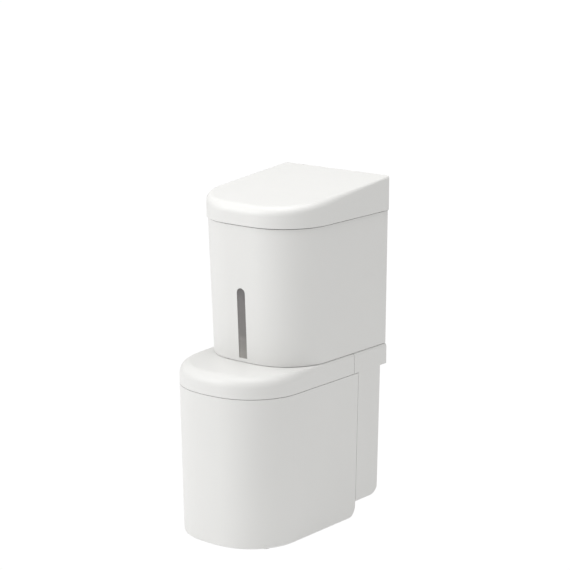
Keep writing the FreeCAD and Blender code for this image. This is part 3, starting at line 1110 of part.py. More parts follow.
def make_slides():
    """Telescopic slides: outer members on the base, middle members with pads, inner on the chassis."""
    metal = "Sizes.slide_sheet"
    gap = "Sizes.slide_gap"
    low = "Places.base_top"
    high = f"{low} + Sizes.slide_height"
    outer = channel("slide_outer", "Sizes.slide_offset", "Sizes.outer_width", (low, high), metal)
    part("slide_outers", pair("slide_outers", outer))
    middle_x = f"Sizes.slide_offset - {metal} - {gap}"
    middle_z = (f"{low} + {metal} + {gap}", f"{high} - {metal} - {gap}")
    middle = channel("slide_middle", middle_x, "Sizes.middle_width", middle_z, metal)
    part("slide_middles", pair("slide_middles", middle))
    inner_high = f"{middle_z[1]} - {metal} - {gap} - 0.5"
    inner_low = f"{middle_z[0]} + {metal} + {gap} + 0.5"
    inner_x = "Sizes.slide_offset - Sizes.inner_reach"
    inner = box("slide_inner_web", (inner_x, f"{inner_x} + {metal}"),
                ("Places.slide_front", "Places.slide_rear"), (inner_low, inner_high))
    lips = [box(f"slide_inner_{name}", (inner_x, f"{inner_x} + Sizes.inner_width"),
                ("Places.slide_front", "Places.slide_rear"), span)
            for name, span in (("low", (inner_low, f"{inner_low} + {metal}")),
                               ("high", (f"{inner_high} - {metal}", inner_high)))]
    part("slide_inners", pair("slide_inners", fuse("slide_inner", inner, *lips)))
    pads = []
    for end, y in (("front", "Places.slide_front + 12"), ("rear", "Places.slide_rear - 42")):
        for level, span in (("low", (f"{low} + {metal} + Sizes.pad_gap", middle_z[0])),
                            ("high", (middle_z[1], f"{high} - {metal} - Sizes.pad_gap"))):
            pads.append(pair(f"slide_pads_{end}_{level}",
                             box(f"slide_pad_{end}_{level}", (f"{middle_x} - 6", f"{middle_x} - 1"),
                                 (y, f"{y} + Sizes.pad_length"), span)))
        for level, span in (("under", (f"{middle_z[0]} + {metal}", f"{inner_low} - Sizes.pad_gap")),
                            ("over", (f"{inner_high} + Sizes.pad_gap", f"{middle_z[1]} - {metal}"))):
            pads.append(pair(f"slide_pads_{end}_{level}",
                             box(f"slide_pad_{end}_{level}", (f"{middle_x} - 8", f"{middle_x} - 4"),
                                 (y, f"{y} + Sizes.pad_length"), span)))
    part("slide_pads", group("slide_pads", *pads))


# ---- service bay under the lid, and what sits in the spine --------------------------------------

def make_service_bay():
    """The tray that closes the tower, with its bag well, filter well and the sunken controls."""
    top = "Places.tray_top"
    gap = "Sizes.skin + Sizes.tray_gap"
    rim = pad_d("tray_rim", inset(TOWER_HEAD, gap, f"Places.rear - ({gap})"), f"{top} - Sizes.skin", top,
                f"Sizes.tower_rear_corner - ({gap})")
    wall = "Sizes.well_wall"
    panel_front = "Places.tower_front + 20"
    panel_rear = f"{panel_front} + Sizes.panel_depth"
    wells = {
        "bag": ("Sizes.panel_half + 12", (f"{panel_rear} + 8", "Places.motor_y - 50"), "Sizes.well_depth"),
        "filter": ("58", ("Places.motor_y - 34", "Places.motor_y + 68"), "Sizes.well_depth"),
        "panel": ("Sizes.panel_half + 0.5", (f"{panel_front} - 0.5", f"{panel_rear} + 0.5"),
                  "Sizes.panel_well"),
    }
    tubs, rooms = [], []
    for name, (half, (fore, aft), depth) in wells.items():
        floor = f"{top} - {depth}"
        tubs.append(wide_box(f"{name}_tub", f"{half} + {wall}", (f"{fore} - {wall}", f"{aft} + {wall}"),
                             (f"{floor} - {wall}", top)))
        rooms.append(wide_box(f"{name}_room", half, (fore, aft), (floor, f"{top} + 5")))
    legs = box("leg_slot", ("Sizes.hinge_offset - 10", "Sizes.hinge_offset + 10"),
               ("Places.hinge_y - 5", "Places.rear"), (f"{top} - 10", f"{top} + 5"))
    part("service_tray", cut("service_tray", fuse("tray_blank", rim, *tubs), *rooms, pair("leg_slots", legs)))
    part("odour_filter", fuse("odour_filter",
                              wide_box("filter_block", "56", ("Places.motor_y - 32", "Places.motor_y + 66"),
                                       (f"{top} - Sizes.well_depth", f"{top} - 5")),
                              wide_box("filter_tab", "8", ("Places.motor_y + 12", "Places.motor_y + 16"),
                                       (f"{top} - 6", f"{top} + 1"))))
    panel_y = f"({panel_front} + {panel_rear}) / 2"
    panel_top = f"{top} - Sizes.panel_drop"
    face = wide_box("panel_face", "Sizes.panel_half", (panel_front, panel_rear),
                    (f"{top} - Sizes.panel_well", panel_top))
    room = wide_box("panel_room", "Sizes.panel_half - 2", (f"{panel_front} + 2", f"{panel_rear} - 2"),
                    (f"{top} - 20", f"{panel_top} - 3"))
    holes = []
    for name, x in (("start", "-Sizes.button_x"), ("stop", "Sizes.button_x")):
        holes.append(rod(f"{name}_hole", "Sizes.button_radius + Sizes.button_gap", (x, panel_y),
                         (f"{top} - 20", top)))
        cap = rod(f"{name}_cap", "Sizes.button_radius", (x, panel_y), (f"{panel_top} - 4", f"{panel_top} + 4"))
        skirt = rod(f"{name}_skirt", "Sizes.button_radius + 1.5", (x, panel_y),
                    (f"{panel_top} - 5", f"{panel_top} - 3.5"))
        part(f"{name}_button", fuse(f"{name}_button", cap, skirt))
    knob_x = "Sizes.panel_half - 22"
    holes.append(rod("knob_hole", "3 + Sizes.run_clearance", (knob_x, panel_y), (f"{top} - 20", top)))
    knob = fuse("knob_blank",
                rod("knob_disc", "Sizes.knob_radius", (knob_x, panel_y),
                    (f"{panel_top} + 0.5", f"{panel_top} + 3.5")),
                box("knob_grip", (f"{knob_x} - 2.5", f"{knob_x} + 2.5"),
                    (f"{panel_y} - Sizes.knob_radius + 1", f"{panel_y} + Sizes.knob_radius - 1"),
                    (f"{panel_top} + 3", f"{panel_top} + 8")),
                rod("knob_stem", "3", (knob_x, panel_y), (f"{panel_top} - 5", f"{panel_top} + 1")))
    part("mode_knob", knob)
    part("control_panel", cut("control_panel", face, room, *holes))


def make_spine_fittings():
    """Service cover, screws, wall bumpers, mains inlet, controller, capacitor, catch and switches."""
    wall = "Places.spine_rear"
    low, high = "Sizes.cover_low", "Sizes.cover_high"
    face = f"{wall} + Sizes.cover_sheet"
    cover = wide_box("cover_blank", "Sizes.cover_half", (wall, face), (low, high))
    screw_places = [(x, z) for x in ("-(Sizes.cover_half - 6)", "Sizes.cover_half - 6")
                    for z in (f"{low} + 4.5", f"{high} - 4.5")]
    holes = [rod(f"cover_hole_{index}", "Sizes.screw_shank", place, (f"{wall} - 5", f"{face} + 1"), "y")
             for index, place in enumerate(screw_places)]
    part("back_cover", cut("back_cover", cover, *holes))
    screws = []
    for index, place in enumerate(screw_places):
        head = rod(f"cover_head_{index}", "Sizes.screw_head", place, (face, f"{face} + 2"), "y")
        shank = rod(f"cover_shank_{index}", "Sizes.screw_shank", place, (wall, f"{face} + 1"), "y")
        screws.append(fuse(f"cover_screw_{index}", head, shank))
    part("cover_screws", group("cover_screws", *screws))
    bumper = box("bumper", ("60", "100"), (wall, f"{wall} + Sizes.bumper_depth"), ("67", "105"))
    part("wall_bumpers", pair("wall_bumpers", bumper))
    x, z = "Sizes.inlet_x", "Sizes.inlet_z"
    body = fuse("inlet_blank",
                box("inlet_body", (f"{x} - 13.5", f"{x} + 13.5"), (f"{wall} - 22", wall),
                    (f"{z} - 10", f"{z} + 10")),
                box("inlet_rim", (f"{x} - 17", f"{x} + 17"), (wall, f"{wall} + 2"),
                    (f"{z} - 14", f"{z} + 14")))
    socket = box("inlet_socket", (f"{x} - 12", f"{x} + 12"), (f"{wall} - 15", f"{wall} + 5"),
                 (f"{z} - 8", f"{z} + 8"))
    part("power_inlet", cut("power_inlet", body, socket))
    pins = [box(f"inlet_pin_{name}", (f"{x} + {dx} - 1", f"{x} + {dx} + 1"), (f"{wall} - 15", f"{wall} - 5"),
                (f"{z} + {dz} - 2", f"{z} + {dz} + 2"))
            for name, dx, dz in (("live", -7, -2), ("neutral", 7, -2), ("earth", 0, 2))]
    part("inlet_pins", group("inlet_pins", *pins))
    back = "Places.web_rear"
    board = fuse("board_blank",
                 box("board_sheet", ("-95", "25"), (f"{back} + 6", f"{back} + 8"), ("190", "300")),
                 box("board_transformer", ("-85", "-45"), (f"{back} + 7", f"{back} + 40"), ("200", "245")),
                 box("board_relay", ("-30", "-10"), (f"{back} + 7", f"{back} + 24"), ("205", "235")),
                 box("board_relay_2", ("0", "20"), (f"{back} + 7", f"{back} + 24"), ("205", "235")),
                 box("board_terminals", ("-80", "10"), (f"{back} + 7", f"{back} + 20"), ("275", "295")),
                 *[rod(f"board_post_{index}", "3", place, (back, f"{back} + 7"), "y")
                   for index, place in enumerate([(x, z) for x in ("-90", "20") for z in ("195", "295")])])
    part("controller_board", board)
    can = rod("capacitor_can", "17", ("70", f"{back} + 22"), ("200", "285"))
    clip = box("capacitor_clip", ("64", "76"), (back, f"{back} + 10"), ("230", "250"))
    part("motor_capacitor", fuse("motor_capacitor", can, clip))
    drawer = "Places.drawer_back"
    part("catch_plate", wide_box("catch_plate", "22", (drawer, f"{drawer} + 3"), ("28", "50")))
    part("catch_magnet", wide_box("catch_magnet", "18", (f"{drawer} + 3 + Sizes.catch_gap",
                                                         "Places.web_front - Sizes.plate"), ("30", "48")))
    part("drawer_switch", box("drawer_switch", ("-104", "-88"), (f"{drawer} + 0.6", "Places.web_front"),
                              ("70", "96")))
    rod_y = "Places.screw_y + Sizes.rod_ahead"
    switch_x = ("-(Places.rod_x - Sizes.rod_radius)", "-(Sizes.screw_offset + Sizes.tube_radius + 6.5)")
    switches = [box(f"limit_switch_{name}", switch_x, (f"{rod_y} - 34", f"{rod_y} + 8"), span)
                for name, span in (("top", ("Places.tube_top - 32", "Places.tube_top - 14")),
                                   ("bottom", ("Places.tube_top - Sizes.stroke - 20",
                                               "Places.tube_top - Sizes.stroke - 2")))]
    part("limit_switches", group("limit_switches", *switches))


def write_parts():
    """Check the whole document, then write one file for each piece."""
    doc.recompute()
    failed = [item.Name for item in doc.Objects if {"Invalid", "Error"} & set(item.State)]
    if failed:
        raise SystemExit(f"failed to recompute: {failed}")
    for name, item in parts.items():
        if item.Shape.isNull() or not item.Shape.isValid() or not item.Shape.Solids:
            raise SystemExit(f"{name} has no valid solid")
    os.makedirs("parts", exist_ok=True)
    for name, item in parts.items():
        item.Shape.exportStep(f"parts/{name}.step")
    print(f"wrote {len(parts)} parts")


make_bin_shell()
make_hood()
make_rear_housing()
make_tower()
make_lid()
make_frame()
make_screws()
make_drive()
make_ram()
make_drawer()
make_service_bay()
make_spine_fittings()
write_parts()
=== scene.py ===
"""A slim two-tier waste compactor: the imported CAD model, dressed, lit and framed.

The CAD nodes carry almost every shape. This script gives each one a procedural material, replaces the
plain lead screws with threaded ones, adds the marks round the dial, and sets the floor, the lights and
the camera. Lengths are in metres.
"""
import json
import math

import bmesh
import bpy
from mathutils import Matrix, Vector


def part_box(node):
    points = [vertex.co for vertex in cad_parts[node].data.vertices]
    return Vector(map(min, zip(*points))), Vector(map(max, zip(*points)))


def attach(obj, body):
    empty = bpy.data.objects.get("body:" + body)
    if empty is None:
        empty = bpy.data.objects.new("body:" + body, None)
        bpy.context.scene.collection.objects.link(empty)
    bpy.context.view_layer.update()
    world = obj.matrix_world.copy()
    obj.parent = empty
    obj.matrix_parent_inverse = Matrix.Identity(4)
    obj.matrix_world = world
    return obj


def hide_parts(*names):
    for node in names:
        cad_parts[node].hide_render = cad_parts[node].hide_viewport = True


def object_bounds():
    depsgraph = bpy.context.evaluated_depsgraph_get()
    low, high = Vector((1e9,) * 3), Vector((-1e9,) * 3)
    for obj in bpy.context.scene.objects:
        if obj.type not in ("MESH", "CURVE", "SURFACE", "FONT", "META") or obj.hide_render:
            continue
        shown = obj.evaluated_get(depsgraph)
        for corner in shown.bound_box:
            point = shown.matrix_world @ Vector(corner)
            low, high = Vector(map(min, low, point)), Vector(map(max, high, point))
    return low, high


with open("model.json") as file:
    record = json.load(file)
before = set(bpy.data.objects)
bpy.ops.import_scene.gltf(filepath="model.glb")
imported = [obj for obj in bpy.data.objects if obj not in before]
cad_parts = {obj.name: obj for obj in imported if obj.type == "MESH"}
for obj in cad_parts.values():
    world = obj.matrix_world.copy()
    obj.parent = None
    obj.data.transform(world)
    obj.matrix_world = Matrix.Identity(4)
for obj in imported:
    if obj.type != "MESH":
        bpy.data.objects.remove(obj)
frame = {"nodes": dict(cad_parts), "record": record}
cad_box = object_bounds()
nodes = frame["nodes"]

# ---- camera ----------------------------------------------------------------------------------

CAMERA_AZIMUTH = 38.83
CAMERA_ELEVATION = 12.91
LENS_MM = 129.4737
SENSOR_MM = 36.0
# the camera's place along its own axes, from a point at the foot of the rear wall
CAMERA_ORIGIN = Vector((0, 0.231, 0.004))
CAMERA_ACROSS, CAMERA_LIFT, CAMERA_DISTANCE = -0.1197, 0.4892, 4.8447


def add_object(name, data):
    made = bpy.data.objects.new(name, data)
    bpy.context.scene.collection.objects.link(made)
    return made


def place_camera():
    """The camera stands well back, at the right front, and looks down a little."""
    turn = math.radians(CAMERA_AZIMUTH)
    rise = math.radians(CAMERA_ELEVATION)
    right = Vector((math.cos(turn), math.sin(turn), 0))
    back = Vector((math.sin(turn) * math.cos(rise), -math.cos(turn) * math.cos(rise), math.sin(rise)))
    up = back.cross(right)
    data = bpy.data.cameras.new("camera")
    data.sensor_width = SENSOR_MM
    data.lens = LENS_MM
    data.clip_end = 50
    camera = add_object("camera", data)
    place = right * CAMERA_ACROSS + up * CAMERA_LIFT + back * CAMERA_DISTANCE + CAMERA_ORIGIN
    camera.matrix_world = Matrix.Translation(place) @ Matrix((right, up, back)).transposed().to_4x4()
    bpy.context.scene.camera = camera


# ---- materials -------------------------------------------------------------------------------

class Paint:
    """A node material under construction: a Principled shader, and short calls that wire into it."""

    def __init__(self, name, color, roughness, **values):
        self.material = bpy.data.materials.new(name)
        self.material.use_nodes = True
        self.tree = self.material.node_tree
        self.shader = next(n for n in self.tree.nodes if n.type == "BSDF_PRINCIPLED")
        self.color = color
        self.roughness = roughness
        self.shader.inputs["Base Color"].default_value = (*color, 1)
        self.shader.inputs["Roughness"].default_value = roughness
        for socket, value in values.items():
            self.shader.inputs[socket.replace("_", " ")].default_value = value
        self.where = self.tree.nodes.new("ShaderNodeTexCoord").outputs["Object"]
        self.bump_out = None

    def node(self, kind, links=None, **settings):
        made = self.tree.nodes.new(kind)
        for key, value in settings.items():
            if key in made.inputs:
                made.inputs[key].default_value = value
            else:
                setattr(made, key, value)
        for socket, source in (links or {}).items():
            self.tree.links.new(source, made.inputs[socket])
        return made

    def feed(self, output, socket):
        self.tree.links.new(output, self.shader.inputs[socket])

    def noise(self, scale, detail=3, stretch=None, roughness=0.5):
        """Noise over the object's own coordinates, scale per metre, drawn out where stretch is small."""
        where = self.where
        if stretch:
            where = self.node("ShaderNodeMapping", {"Vector": where}, Scale=stretch).outputs["Vector"]
        made = self.node("ShaderNodeTexNoise", {"Vector": where}, Scale=scale, Detail=detail)
        made.inputs["Roughness"].default_value = roughness
        return made.outputs["Fac"]

    def ramp(self, fac, stops):
        made = self.node("ShaderNodeValToRGB", {"Fac": fac})
        elements = made.color_ramp.elements
        for element, (place, color) in zip(elements, stops):
            element.position = place
            element.color = (*color, 1)
        for place, color in stops[2:]:
            element = elements.new(place)
            element.color = (*color, 1)
        return made.outputs["Color"]

    def spread(self, fac, low, high, from_low=0.3, from_high=0.7):
        made = self.node("ShaderNodeMapRange", {"Value": fac})
        made.inputs["From Min"].default_value = from_low
        made.inputs["From Max"].default_value = from_high
        made.inputs["To Min"].default_value = low
        made.inputs["To Max"].default_value = high
        return made.outputs["Result"]

    def tint(self, fac, amount):
        """The base colour, a little darker and lighter with fac."""
        low = tuple(c * (1 - amount) for c in self.color)
        high = tuple(min(1, c * (1 + amount)) for c in self.color)
        self.feed(self.ramp(fac, [(0.3, low), (0.7, high)]), "Base Color")

    def vary_roughness(self, fac, amount):
        self.feed(self.spread(fac, self.roughness - amount, self.roughness + amount), "Roughness")

    def bump(self, height, distance, strength=1.0):
        made = self.node("ShaderNodeBump", {"Height": height}, Strength=strength, Distance=distance)
        if self.bump_out:
            self.tree.links.new(self.bump_out, made.inputs["Normal"])
        self.bump_out = made.outputs["Normal"]
        self.feed(self.bump_out, "Normal")

    def edge_wear_and_highlight(self, color, width, amount):
        """Edges coloured towards color where the surface turns within width: rubbed edges on metal and
        paint, a painted highlight on the white shell.
        """
        bevel = self.node("ShaderNodeBevel", samples=4, Radius=width)
        flat = self.node("ShaderNodeNewGeometry").outputs["Normal"]
        normals = {0: bevel.outputs["Normal"], 1: flat}
        agree = self.node("ShaderNodeVectorMath", normals, operation="DOT_PRODUCT")
        edge = self.spread(agree.outputs["Value"], amount, 0, 0.75, 0.995)
        broken = self.spread(self.noise(180, 4), 0.35, 1.0)
        mask = self.node("ShaderNodeMath", {0: edge, 1: broken}, operation="MULTIPLY")
        base = self.shader.inputs["Base Color"]
        blend = self.node("ShaderNodeMix", data_type="RGBA")
        source = base.links[0].from_socket if base.links else None
        if source:
            self.tree.links.new(source, blend.inputs["A"])
        else:
            blend.inputs["A"].default_value = (*self.color, 1)
        blend.inputs["B"].default_value = (*color, 1)
        self.tree.links.new(mask.outputs["Value"], blend.inputs["Factor"])
        self.feed(blend.outputs["Result"], "Base Color")


def moulded(name, color, roughness=0.36, grain=0.00003, tint=0.012):
    """Injection-moulded plastic: a fine eroded texture, faint sink marks, handling marks in the sheen."""
    paint = Paint(name, color, roughness, IOR=1.49)
    paint.tint(paint.noise(9, 4), tint)
    paint.vary_roughness(paint.noise(35, 5, roughness=0.6), 0.05)
    paint.bump(paint.noise(1800, 2), grain, 0.5)
    paint.bump(paint.noise(14, 2), 0.0004, 0.12)
    return paint


def make_shell():
    paint = moulded("white_shell", (0.80, 0.797, 0.785), 0.42, 0.00002, 0.006)
    # painted highlight: the shell's rounded edges are painted whiter than its faces, for the light they
    # catch
    paint.edge_wear_and_highlight((0.90, 0.895, 0.88), 0.0012, 0.25)
    return paint.material


def make_window():
    paint = Paint("smoked_window", (0.19, 0.18, 0.18), 0.42, IOR=1.45)
    height = paint.node("ShaderNodeSeparateXYZ", {"Vector": paint.where})
    low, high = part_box("sight_window")
    # painted shade: the window is coloured lighter at the bottom and darker towards the top, the shadow
    # inside the slot painted into its colour
    painted_shade_by_height = paint.spread(height.outputs["Z"], 0, 1, low[2], high[2])
    cloud = paint.noise(26, 4)
    both = paint.node("ShaderNodeMath", {0: painted_shade_by_height, 1: paint.spread(cloud, -0.12, 0.12)}, operation="ADD")
    # painted shade: these colours run from the lit bottom of the window to its shaded top
    shaded_window_colors = [(0.0, (0.37, 0.355, 0.335)), (0.35, (0.205, 0.195, 0.19)),
              (0.8, (0.185, 0.175, 0.175)), (1.0, (0.12, 0.115, 0.115))]
    paint.feed(paint.ramp(both.outputs["Value"], shaded_window_colors), "Base Color")
    paint.vary_roughness(cloud, 0.06)
    paint.bump(paint.noise(900, 2), 0.00003, 0.4)
    return paint.material


def make_steel(name, color, roughness, stretch, rub=0.05):
    """Drawn or ground metal with fine lines along its length."""
    paint = Paint(name, color, roughness, Metallic=1.0)
    lines = paint.noise(60, 6, stretch, 0.7)
    paint.tint(paint.noise(22, 5), rub)
    paint.vary_roughness(lines, 0.10)
    paint.bump(lines, 0.00004, 0.5)
    return paint


def make_zinc():
    paint = Paint("zinc_steel", (0.62, 0.63, 0.64), 0.42, Metallic=1.0)
    cells = paint.node("ShaderNodeTexVoronoi", {"Vector": paint.where}, Scale=110.0)
    spangle = paint.node("ShaderNodeRGBToBW", {"Color": cells.outputs["Color"]}).outputs["Val"]
    paint.tint(spangle, 0.09)
    paint.vary_roughness(spangle, 0.08)
    paint.bump(paint.noise(300, 3), 0.00004, 0.5)
    return paint.material


def make_powder_coat():
    paint = Paint("painted_steel", (0.055, 0.06, 0.068), 0.5, IOR=1.5)
    paint.tint(paint.noise(40, 4), 0.08)
    paint.vary_roughness(paint.noise(25, 5), 0.07)
    paint.bump(paint.noise(420, 2), 0.00016, 0.5)
    paint.edge_wear_and_highlight((0.30, 0.30, 0.31), 0.0009, 0.7)
    return paint.material


def make_motor_paint():
    paint = Paint("motor_paint", (0.02, 0.021, 0.023), 0.38, IOR=1.5)
    paint.tint(paint.noise(60, 4), 0.15)
    paint.vary_roughness(paint.noise(120, 4), 0.08)
    paint.bump(paint.noise(350, 3), 0.00012, 0.5)
    return paint.material


def make_rubber(name, color):
    paint = Paint(name, color, 0.72, IOR=1.5)
    paint.tint(paint.noise(55, 5), 0.18)
    paint.vary_roughness(paint.noise(90, 3), 0.08)
    paint.bump(paint.noise(750, 3), 0.00012, 0.6)
    return paint.material


def make_belt():
    """A ribbed drive belt, its ribs running round the loop."""
    paint = Paint("belt_rubber", (0.022, 0.022, 0.024), 0.6, IOR=1.5)
    ribs = paint.node("ShaderNodeTexWave", {"Vector": paint.where}, bands_direction="Z", Scale=210.0)
    paint.tint(paint.noise(70, 4), 0.2)
    paint.bump(ribs.outputs["Fac"], 0.0012, 0.9)
    paint.bump(paint.noise(900, 2), 0.0001, 0.5)
    return paint.material


def make_cast():
    paint = Paint("cast_alloy", (0.52, 0.53, 0.54), 0.5, Metallic=1.0)
    paint.tint(paint.noise(60, 5), 0.10)
    paint.vary_roughness(paint.noise(130, 4), 0.1)
    paint.bump(paint.noise(480, 4, roughness=0.7), 0.0002, 0.6)
    paint.edge_wear_and_highlight((0.75, 0.76, 0.77), 0.0008, 0.6)
    return paint.material


def make_bronze():
    paint = Paint("bronze", (0.56, 0.36, 0.16), 0.34, Metallic=1.0)
    rings = paint.noise(30, 4, (0.1, 0.1, 22), 0.6)
    paint.tint(paint.noise(45, 5), 0.12)
    paint.vary_roughness(rings, 0.08)
    paint.bump(rings, 0.00005, 0.5)
    return paint.material


def make_board():
    """Solder resist with a grid of copper tracks showing through it."""
    paint = Paint("board_green", (0.012, 0.09, 0.04), 0.35, IOR=1.5)
    bricks = paint.node("ShaderNodeTexBrick", {"Vector": paint.where}, Scale=60.0)
    bricks.inputs["Mortar Size"].default_value = 0.05
    bricks.inputs["Color1"].default_value = (0.010, 0.085, 0.035, 1)
    bricks.inputs["Color2"].default_value = (0.014, 0.10, 0.045, 1)
    bricks.inputs["Mortar"].default_value = (0.03, 0.17, 0.07, 1)
    paint.feed(bricks.outputs["Color"], "Base Color")
    paint.vary_roughness(paint.noise(60, 3), 0.08)
    paint.bump(bricks.outputs["Fac"], 0.00006, 0.6)
    return paint.material


def make_bucket_plastic():
    """Polypropylene with the long scuffs that refuse leaves on it."""
    paint = moulded("bucket_plastic", (0.13, 0.14, 0.148), 0.42, 0.00004, 0.05)
    scuffs = paint.noise(50, 6, (1, 1, 0.06), 0.75)
    paint.vary_roughness(scuffs, 0.12)
    paint.bump(scuffs, 0.00008, 0.4)
    return paint.material


def dress_nodes():
    """Every CAD node gets the finish of its slot in the record."""
    grey = moulded("grey_plastic", (0.085, 0.09, 0.095), 0.5, 0.00008, 0.06)
    black = moulded("black_plastic", (0.018, 0.018, 0.02), 0.45, 0.00008, 0.1)
    liner = moulded("liner_plastic", (0.62, 0.62, 0.60), 0.55, 0.00008, 0.02)
    nylon = moulded("nylon", (0.74, 0.72, 0.64), 0.45, 0.00004, 0.03)
    finishes = {
        "white_shell": make_shell(),
        "smoked_window": make_window(),
        "liner_plastic": liner.material,
        "grey_plastic": grey.material,
        "black_plastic": black.material,
        "bucket_plastic": make_bucket_plastic(),
        "rubber": make_rubber("rubber", (0.03, 0.03, 0.031)),
        "grey_rubber": make_rubber("grey_rubber", (0.22, 0.22, 0.22)),
        "zinc_steel": make_zinc(),
        "painted_steel": make_powder_coat(),
        "bright_steel": make_steel("bright_steel", (0.66, 0.66, 0.67), 0.24, (1, 1, 0.05)).material,
        "bronze": make_bronze(),
        "cast_alloy": make_cast(),
        "motor_paint": make_motor_paint(),
        "belt_rubber": make_belt(),
        "board_green": make_board(),
        "pointer_red": moulded("pointer_red", (0.55, 0.05, 0.02), 0.3).material,
        "start_green": moulded("start_green", (0.03, 0.24, 0.07), 0.3).material,
        "stop_red": moulded("stop_red", (0.48, 0.02, 0.015), 0.3).material,
        "brass": make_steel("brass", (0.72, 0.55, 0.22), 0.25, (1, 0.05, 1), 0.08).material,
        "nylon": nylon.material,
    }
    for entry in frame["record"]["subparts"]:
        piece = nodes[entry["node"]]
        finish = finishes[entry["material_slot"]]
        if not piece.material_slots:
            piece.data.materials.append(finish)
        for place in piece.material_slots:
            place.material = finish
    return finishes


# ---- detail pieces ---------------------------------------------------------------------------

SCREW_LEAD = 0.020
THREAD_STARTS = 4
THREAD_DEPTH = 0.0011
# one pitch of the thread as rows of points: the first CREST_ROWS lie on the crest, the rest on the root
THREAD_PHASES = (0.0, 0.12, 0.25, 0.38, 0.5, 0.62, 0.75, 0.88)
CREST_ROWS = 4
COLLAR_HEIGHT = 0.0029
COLLAR_GAP = 0.0004
COLLAR_OVERHANG = 0.004
CHAMFER = 0.0006
TICK_SUNK = 0.0003
TICK_RAISED = 0.0004
TICK_TAPER = 0.00015
TICK_GAP = 0.0012
# angle in degrees, length and half width of each tick
TICKS = (
    (-45, 0.0032, 0.0005),
    (-22.5, 0.0018, 0.00035),
    (0, 0.0032, 0.0005),
    (22.5, 0.0018, 0.00035),
    (45, 0.0032, 0.0005),
)


def node_middle(node):
    """The middle of a node's box in plan, and half its width."""
    low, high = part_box(node)
    return ((low[0] + high[0]) / 2, (low[1] + high[1]) / 2), (high[0] - low[0]) / 2


def around(centre, radius, angle, height):
    return centre[0] + radius * math.cos(angle), centre[1] + radius * math.sin(angle), height


def add_turned(shape, profile, centre, sides=64):
    """A closed turned solid: the profile is a list of (radius, height) from the bottom up."""
    rings = []
    for radius, height in profile:
        turns = [2 * math.pi * index / sides for index in range(sides)]
        rings.append([shape.verts.new(around(centre, radius, turn, height)) for turn in turns])
    for lower, upper in zip(rings, rings[1:]):
        for index in range(sides):
            after = (index + 1) % sides
            shape.faces.new((lower[index], lower[after], upper[after], upper[index]))
    shape.faces.new(list(reversed(rings[0])))
    shape.faces.new(rings[-1])


def add_thread(shape, centre, radius, low, high, sides=48):
    """A right-hand thread of several starts: rows that climb with it, cut level at both ends."""
    pitch = SCREW_LEAD / THREAD_STARTS
    per_pitch = len(THREAD_PHASES)
    per_turn = per_pitch * THREAD_STARTS
    base = low - SCREW_LEAD - pitch
    pitches = math.ceil((high - base) / pitch) + THREAD_STARTS + 1
    rows = []
    for index in range(pitches * per_pitch):
        step, phase = divmod(index, per_pitch)
        reach = radius if phase < CREST_ROWS else radius - THREAD_DEPTH
        level = base + (step + THREAD_PHASES[phase]) * pitch
        row = []
        for side in range(sides):
            turn = side / sides
            row.append(shape.verts.new(around(centre, reach, 2 * math.pi * turn, level + SCREW_LEAD * turn)))
        rows.append(row)
    for index in range(len(rows) - 1):
        lower, upper = rows[index], rows[index + 1]
        for side in range(sides - 1):
            shape.faces.new((lower[side], lower[side + 1], upper[side + 1], upper[side]))
        if index + 1 + per_turn < len(rows):
            shape.faces.new((lower[-1], rows[index + per_turn][0], rows[index + 1 + per_turn][0], upper[-1]))
    for level, ends in ((low, {"clear_inner": True}), (high, {"clear_outer": True})):
        bmesh.ops.bisect_plane(shape, geom=shape.verts[:] + shape.edges[:] + shape.faces[:],
                               plane_co=(0, 0, level), plane_no=(0, 0, 1), **ends)
    bmesh.ops.holes_fill(shape, edges=[edge for edge in shape.edges if edge.is_boundary], sides=0)


def place_piece(name, shape, body, slot, smooth_below=32):
    """Turn a finished bmesh into a piece that rides on a body and takes a slot's finish."""
    bmesh.ops.recalc_face_normals(shape, faces=shape.faces[:])
    mesh = bpy.data.meshes.new(name)
    shape.to_mesh(mesh)
    shape.free()
    mesh.shade_smooth()
    mesh.set_sharp_from_angle(angle=math.radians(smooth_below))
    mesh.materials.append(finishes[slot])
    piece = add_object(name, mesh)
    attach(piece, body)
    return piece


def make_lead_screw(side):
    """A rolled four-start screw with the plain journal and collar that its bearing holds."""
    node = f"lead_screw_{side}"
    low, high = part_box(node)
    centre, collar_reach = node_middle(node)
    radius = collar_reach - COLLAR_OVERHANG
    drive_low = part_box("drive_plate")[0][2]
    collar_top = drive_low - COLLAR_GAP
    collar_low = collar_top - COLLAR_HEIGHT
    thread_top = collar_low - CHAMFER
    thread = bmesh.new()
    add_thread(thread, centre, radius, low[2], thread_top)
    add_turned(thread, [
        (radius - THREAD_DEPTH, thread_top - CHAMFER), (radius, thread_top), (radius, collar_low),
        (collar_reach - CHAMFER, collar_low), (collar_reach, collar_low + CHAMFER),
        (collar_reach, collar_top - CHAMFER), (collar_reach - CHAMFER, collar_top),
        (radius, collar_top), (radius, high[2] - CHAMFER), (radius - CHAMFER, high[2]),
    ], centre)
    piece = place_piece(f"threaded_screw_{side}", thread, f"screw_{side}", "bright_steel")
    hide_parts(node)


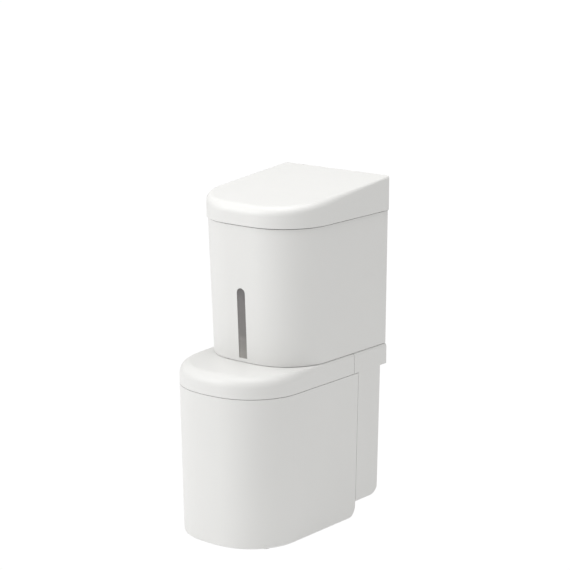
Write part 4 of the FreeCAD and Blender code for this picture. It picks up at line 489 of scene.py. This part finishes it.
def make_panel_marks():
    """Five raised ticks on the control panel, round the mode knob."""
    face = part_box("control_panel")[1][2]
    marks = bmesh.new()
    centre, reach = node_middle("mode_knob")
    inner = reach + TICK_GAP
    for degrees, length, half in TICKS:
        turn = Matrix.Rotation(math.radians(degrees), 4, "Z")
        outer = inner + length
        corners = []
        for height, taper in ((-TICK_SUNK, 0), (TICK_RAISED, TICK_TAPER)):
            for x, y in ((-half + taper, inner + taper), (half - taper, inner + taper),
                         (half - taper, outer - taper), (-half + taper, outer - taper)):
                spot = turn @ Vector((x, y, 0))
                corners.append(marks.verts.new((centre[0] + spot.x, centre[1] + spot.y, face + height)))
        for quad in ((3, 2, 1, 0), (4, 5, 6, 7), (0, 1, 5, 4), (1, 2, 6, 5), (2, 3, 7, 6), (3, 0, 4, 7)):
            marks.faces.new([corners[index] for index in quad])
    place_piece("dial_marks", marks, "cabinet", "liner_plastic")


# ---- floor and light -------------------------------------------------------------------------

FLOOR_REACH = 12
FLOOR_GLOW = 0.52
ROOM_LIGHT = 0.41
KEY_POWER = 73
OVERHEAD_POWER = 50
# how bright the camera sees the floor and the room, which light the object far less
FLOOR_SEEN = 1.02
ROOM_SEEN = 1.05


def area_light(name, place, target, size, power):
    data = bpy.data.lights.new(name, "AREA")
    data.shape = "RECTANGLE"
    data.size, data.size_y = size
    data.energy = power
    light = add_object(name, data)
    light.location = place
    light.rotation_euler = (Vector(target) - Vector(place)).to_track_quat("-Z", "Y").to_euler()


def set_stage():
    """A pale floor, a soft light from the front left and one overhead, and a white room round it."""
    mesh = bpy.data.meshes.new("floor")
    level = cad_box[0][2]
    corners = [(x * FLOOR_REACH, y * FLOOR_REACH, level) for x, y in ((-1, -1), (1, -1), (1, 1), (-1, 1))]
    mesh.from_pydata(corners, [], [(0, 1, 2, 3)])
    floor = add_object("floor", mesh)
    paper = Paint("floor_paper", (0.5, 0.5, 0.5), 0.9)
    paper.shader.inputs["Emission Color"].default_value = (1, 1, 1, 1)
    paper.shader.inputs["Emission Strength"].default_value = FLOOR_GLOW
    white = paper.node("ShaderNodeEmission", Strength=FLOOR_SEEN)
    seen_by_camera = paper.node("ShaderNodeLightPath").outputs["Is Camera Ray"]
    blend = paper.node("ShaderNodeMixShader", {"Fac": seen_by_camera})
    output = next(n for n in paper.tree.nodes if n.type == "OUTPUT_MATERIAL")
    paper.tree.links.new(paper.shader.outputs["BSDF"], blend.inputs[1])
    paper.tree.links.new(white.outputs["Emission"], blend.inputs[2])
    paper.tree.links.new(blend.outputs["Shader"], output.inputs["Surface"])
    mesh.materials.append(paper.material)
    world = bpy.data.worlds.new("room")
    bpy.context.scene.world = world
    world.use_nodes = True
    tree = world.node_tree
    seen = tree.nodes["Background"]
    seen.inputs["Color"].default_value = (1, 1, 1, 1)
    seen.inputs["Strength"].default_value = ROOM_SEEN
    lighting = tree.nodes.new("ShaderNodeBackground")
    lighting.inputs["Color"].default_value = (1.0, 1.0, 0.98, 1)
    lighting.inputs["Strength"].default_value = ROOM_LIGHT
    path = tree.nodes.new("ShaderNodeLightPath")
    choice = tree.nodes.new("ShaderNodeMixShader")
    tree.links.new(path.outputs["Is Camera Ray"], choice.inputs["Fac"])
    tree.links.new(lighting.outputs["Background"], choice.inputs[1])
    tree.links.new(seen.outputs["Background"], choice.inputs[2])
    tree.links.new(choice.outputs["Shader"], tree.nodes["World Output"].inputs["Surface"])
    area_light("key", (-2.2, -3.2, 2.6), (0, 0, 0.45), (2.4, 2.4), KEY_POWER)
    area_light("overhead", (0.2, -0.2, 3.2), (0, 0, 0.5), (2.2, 2.2), OVERHEAD_POWER)
    scene = bpy.context.scene
    scene.view_settings.view_transform = "Standard"
    scene.view_settings.look = "None"


place_camera()
finishes = dress_nodes()
for side in ("left", "right"):
    make_lead_screw(side)
make_panel_marks()
set_stage()
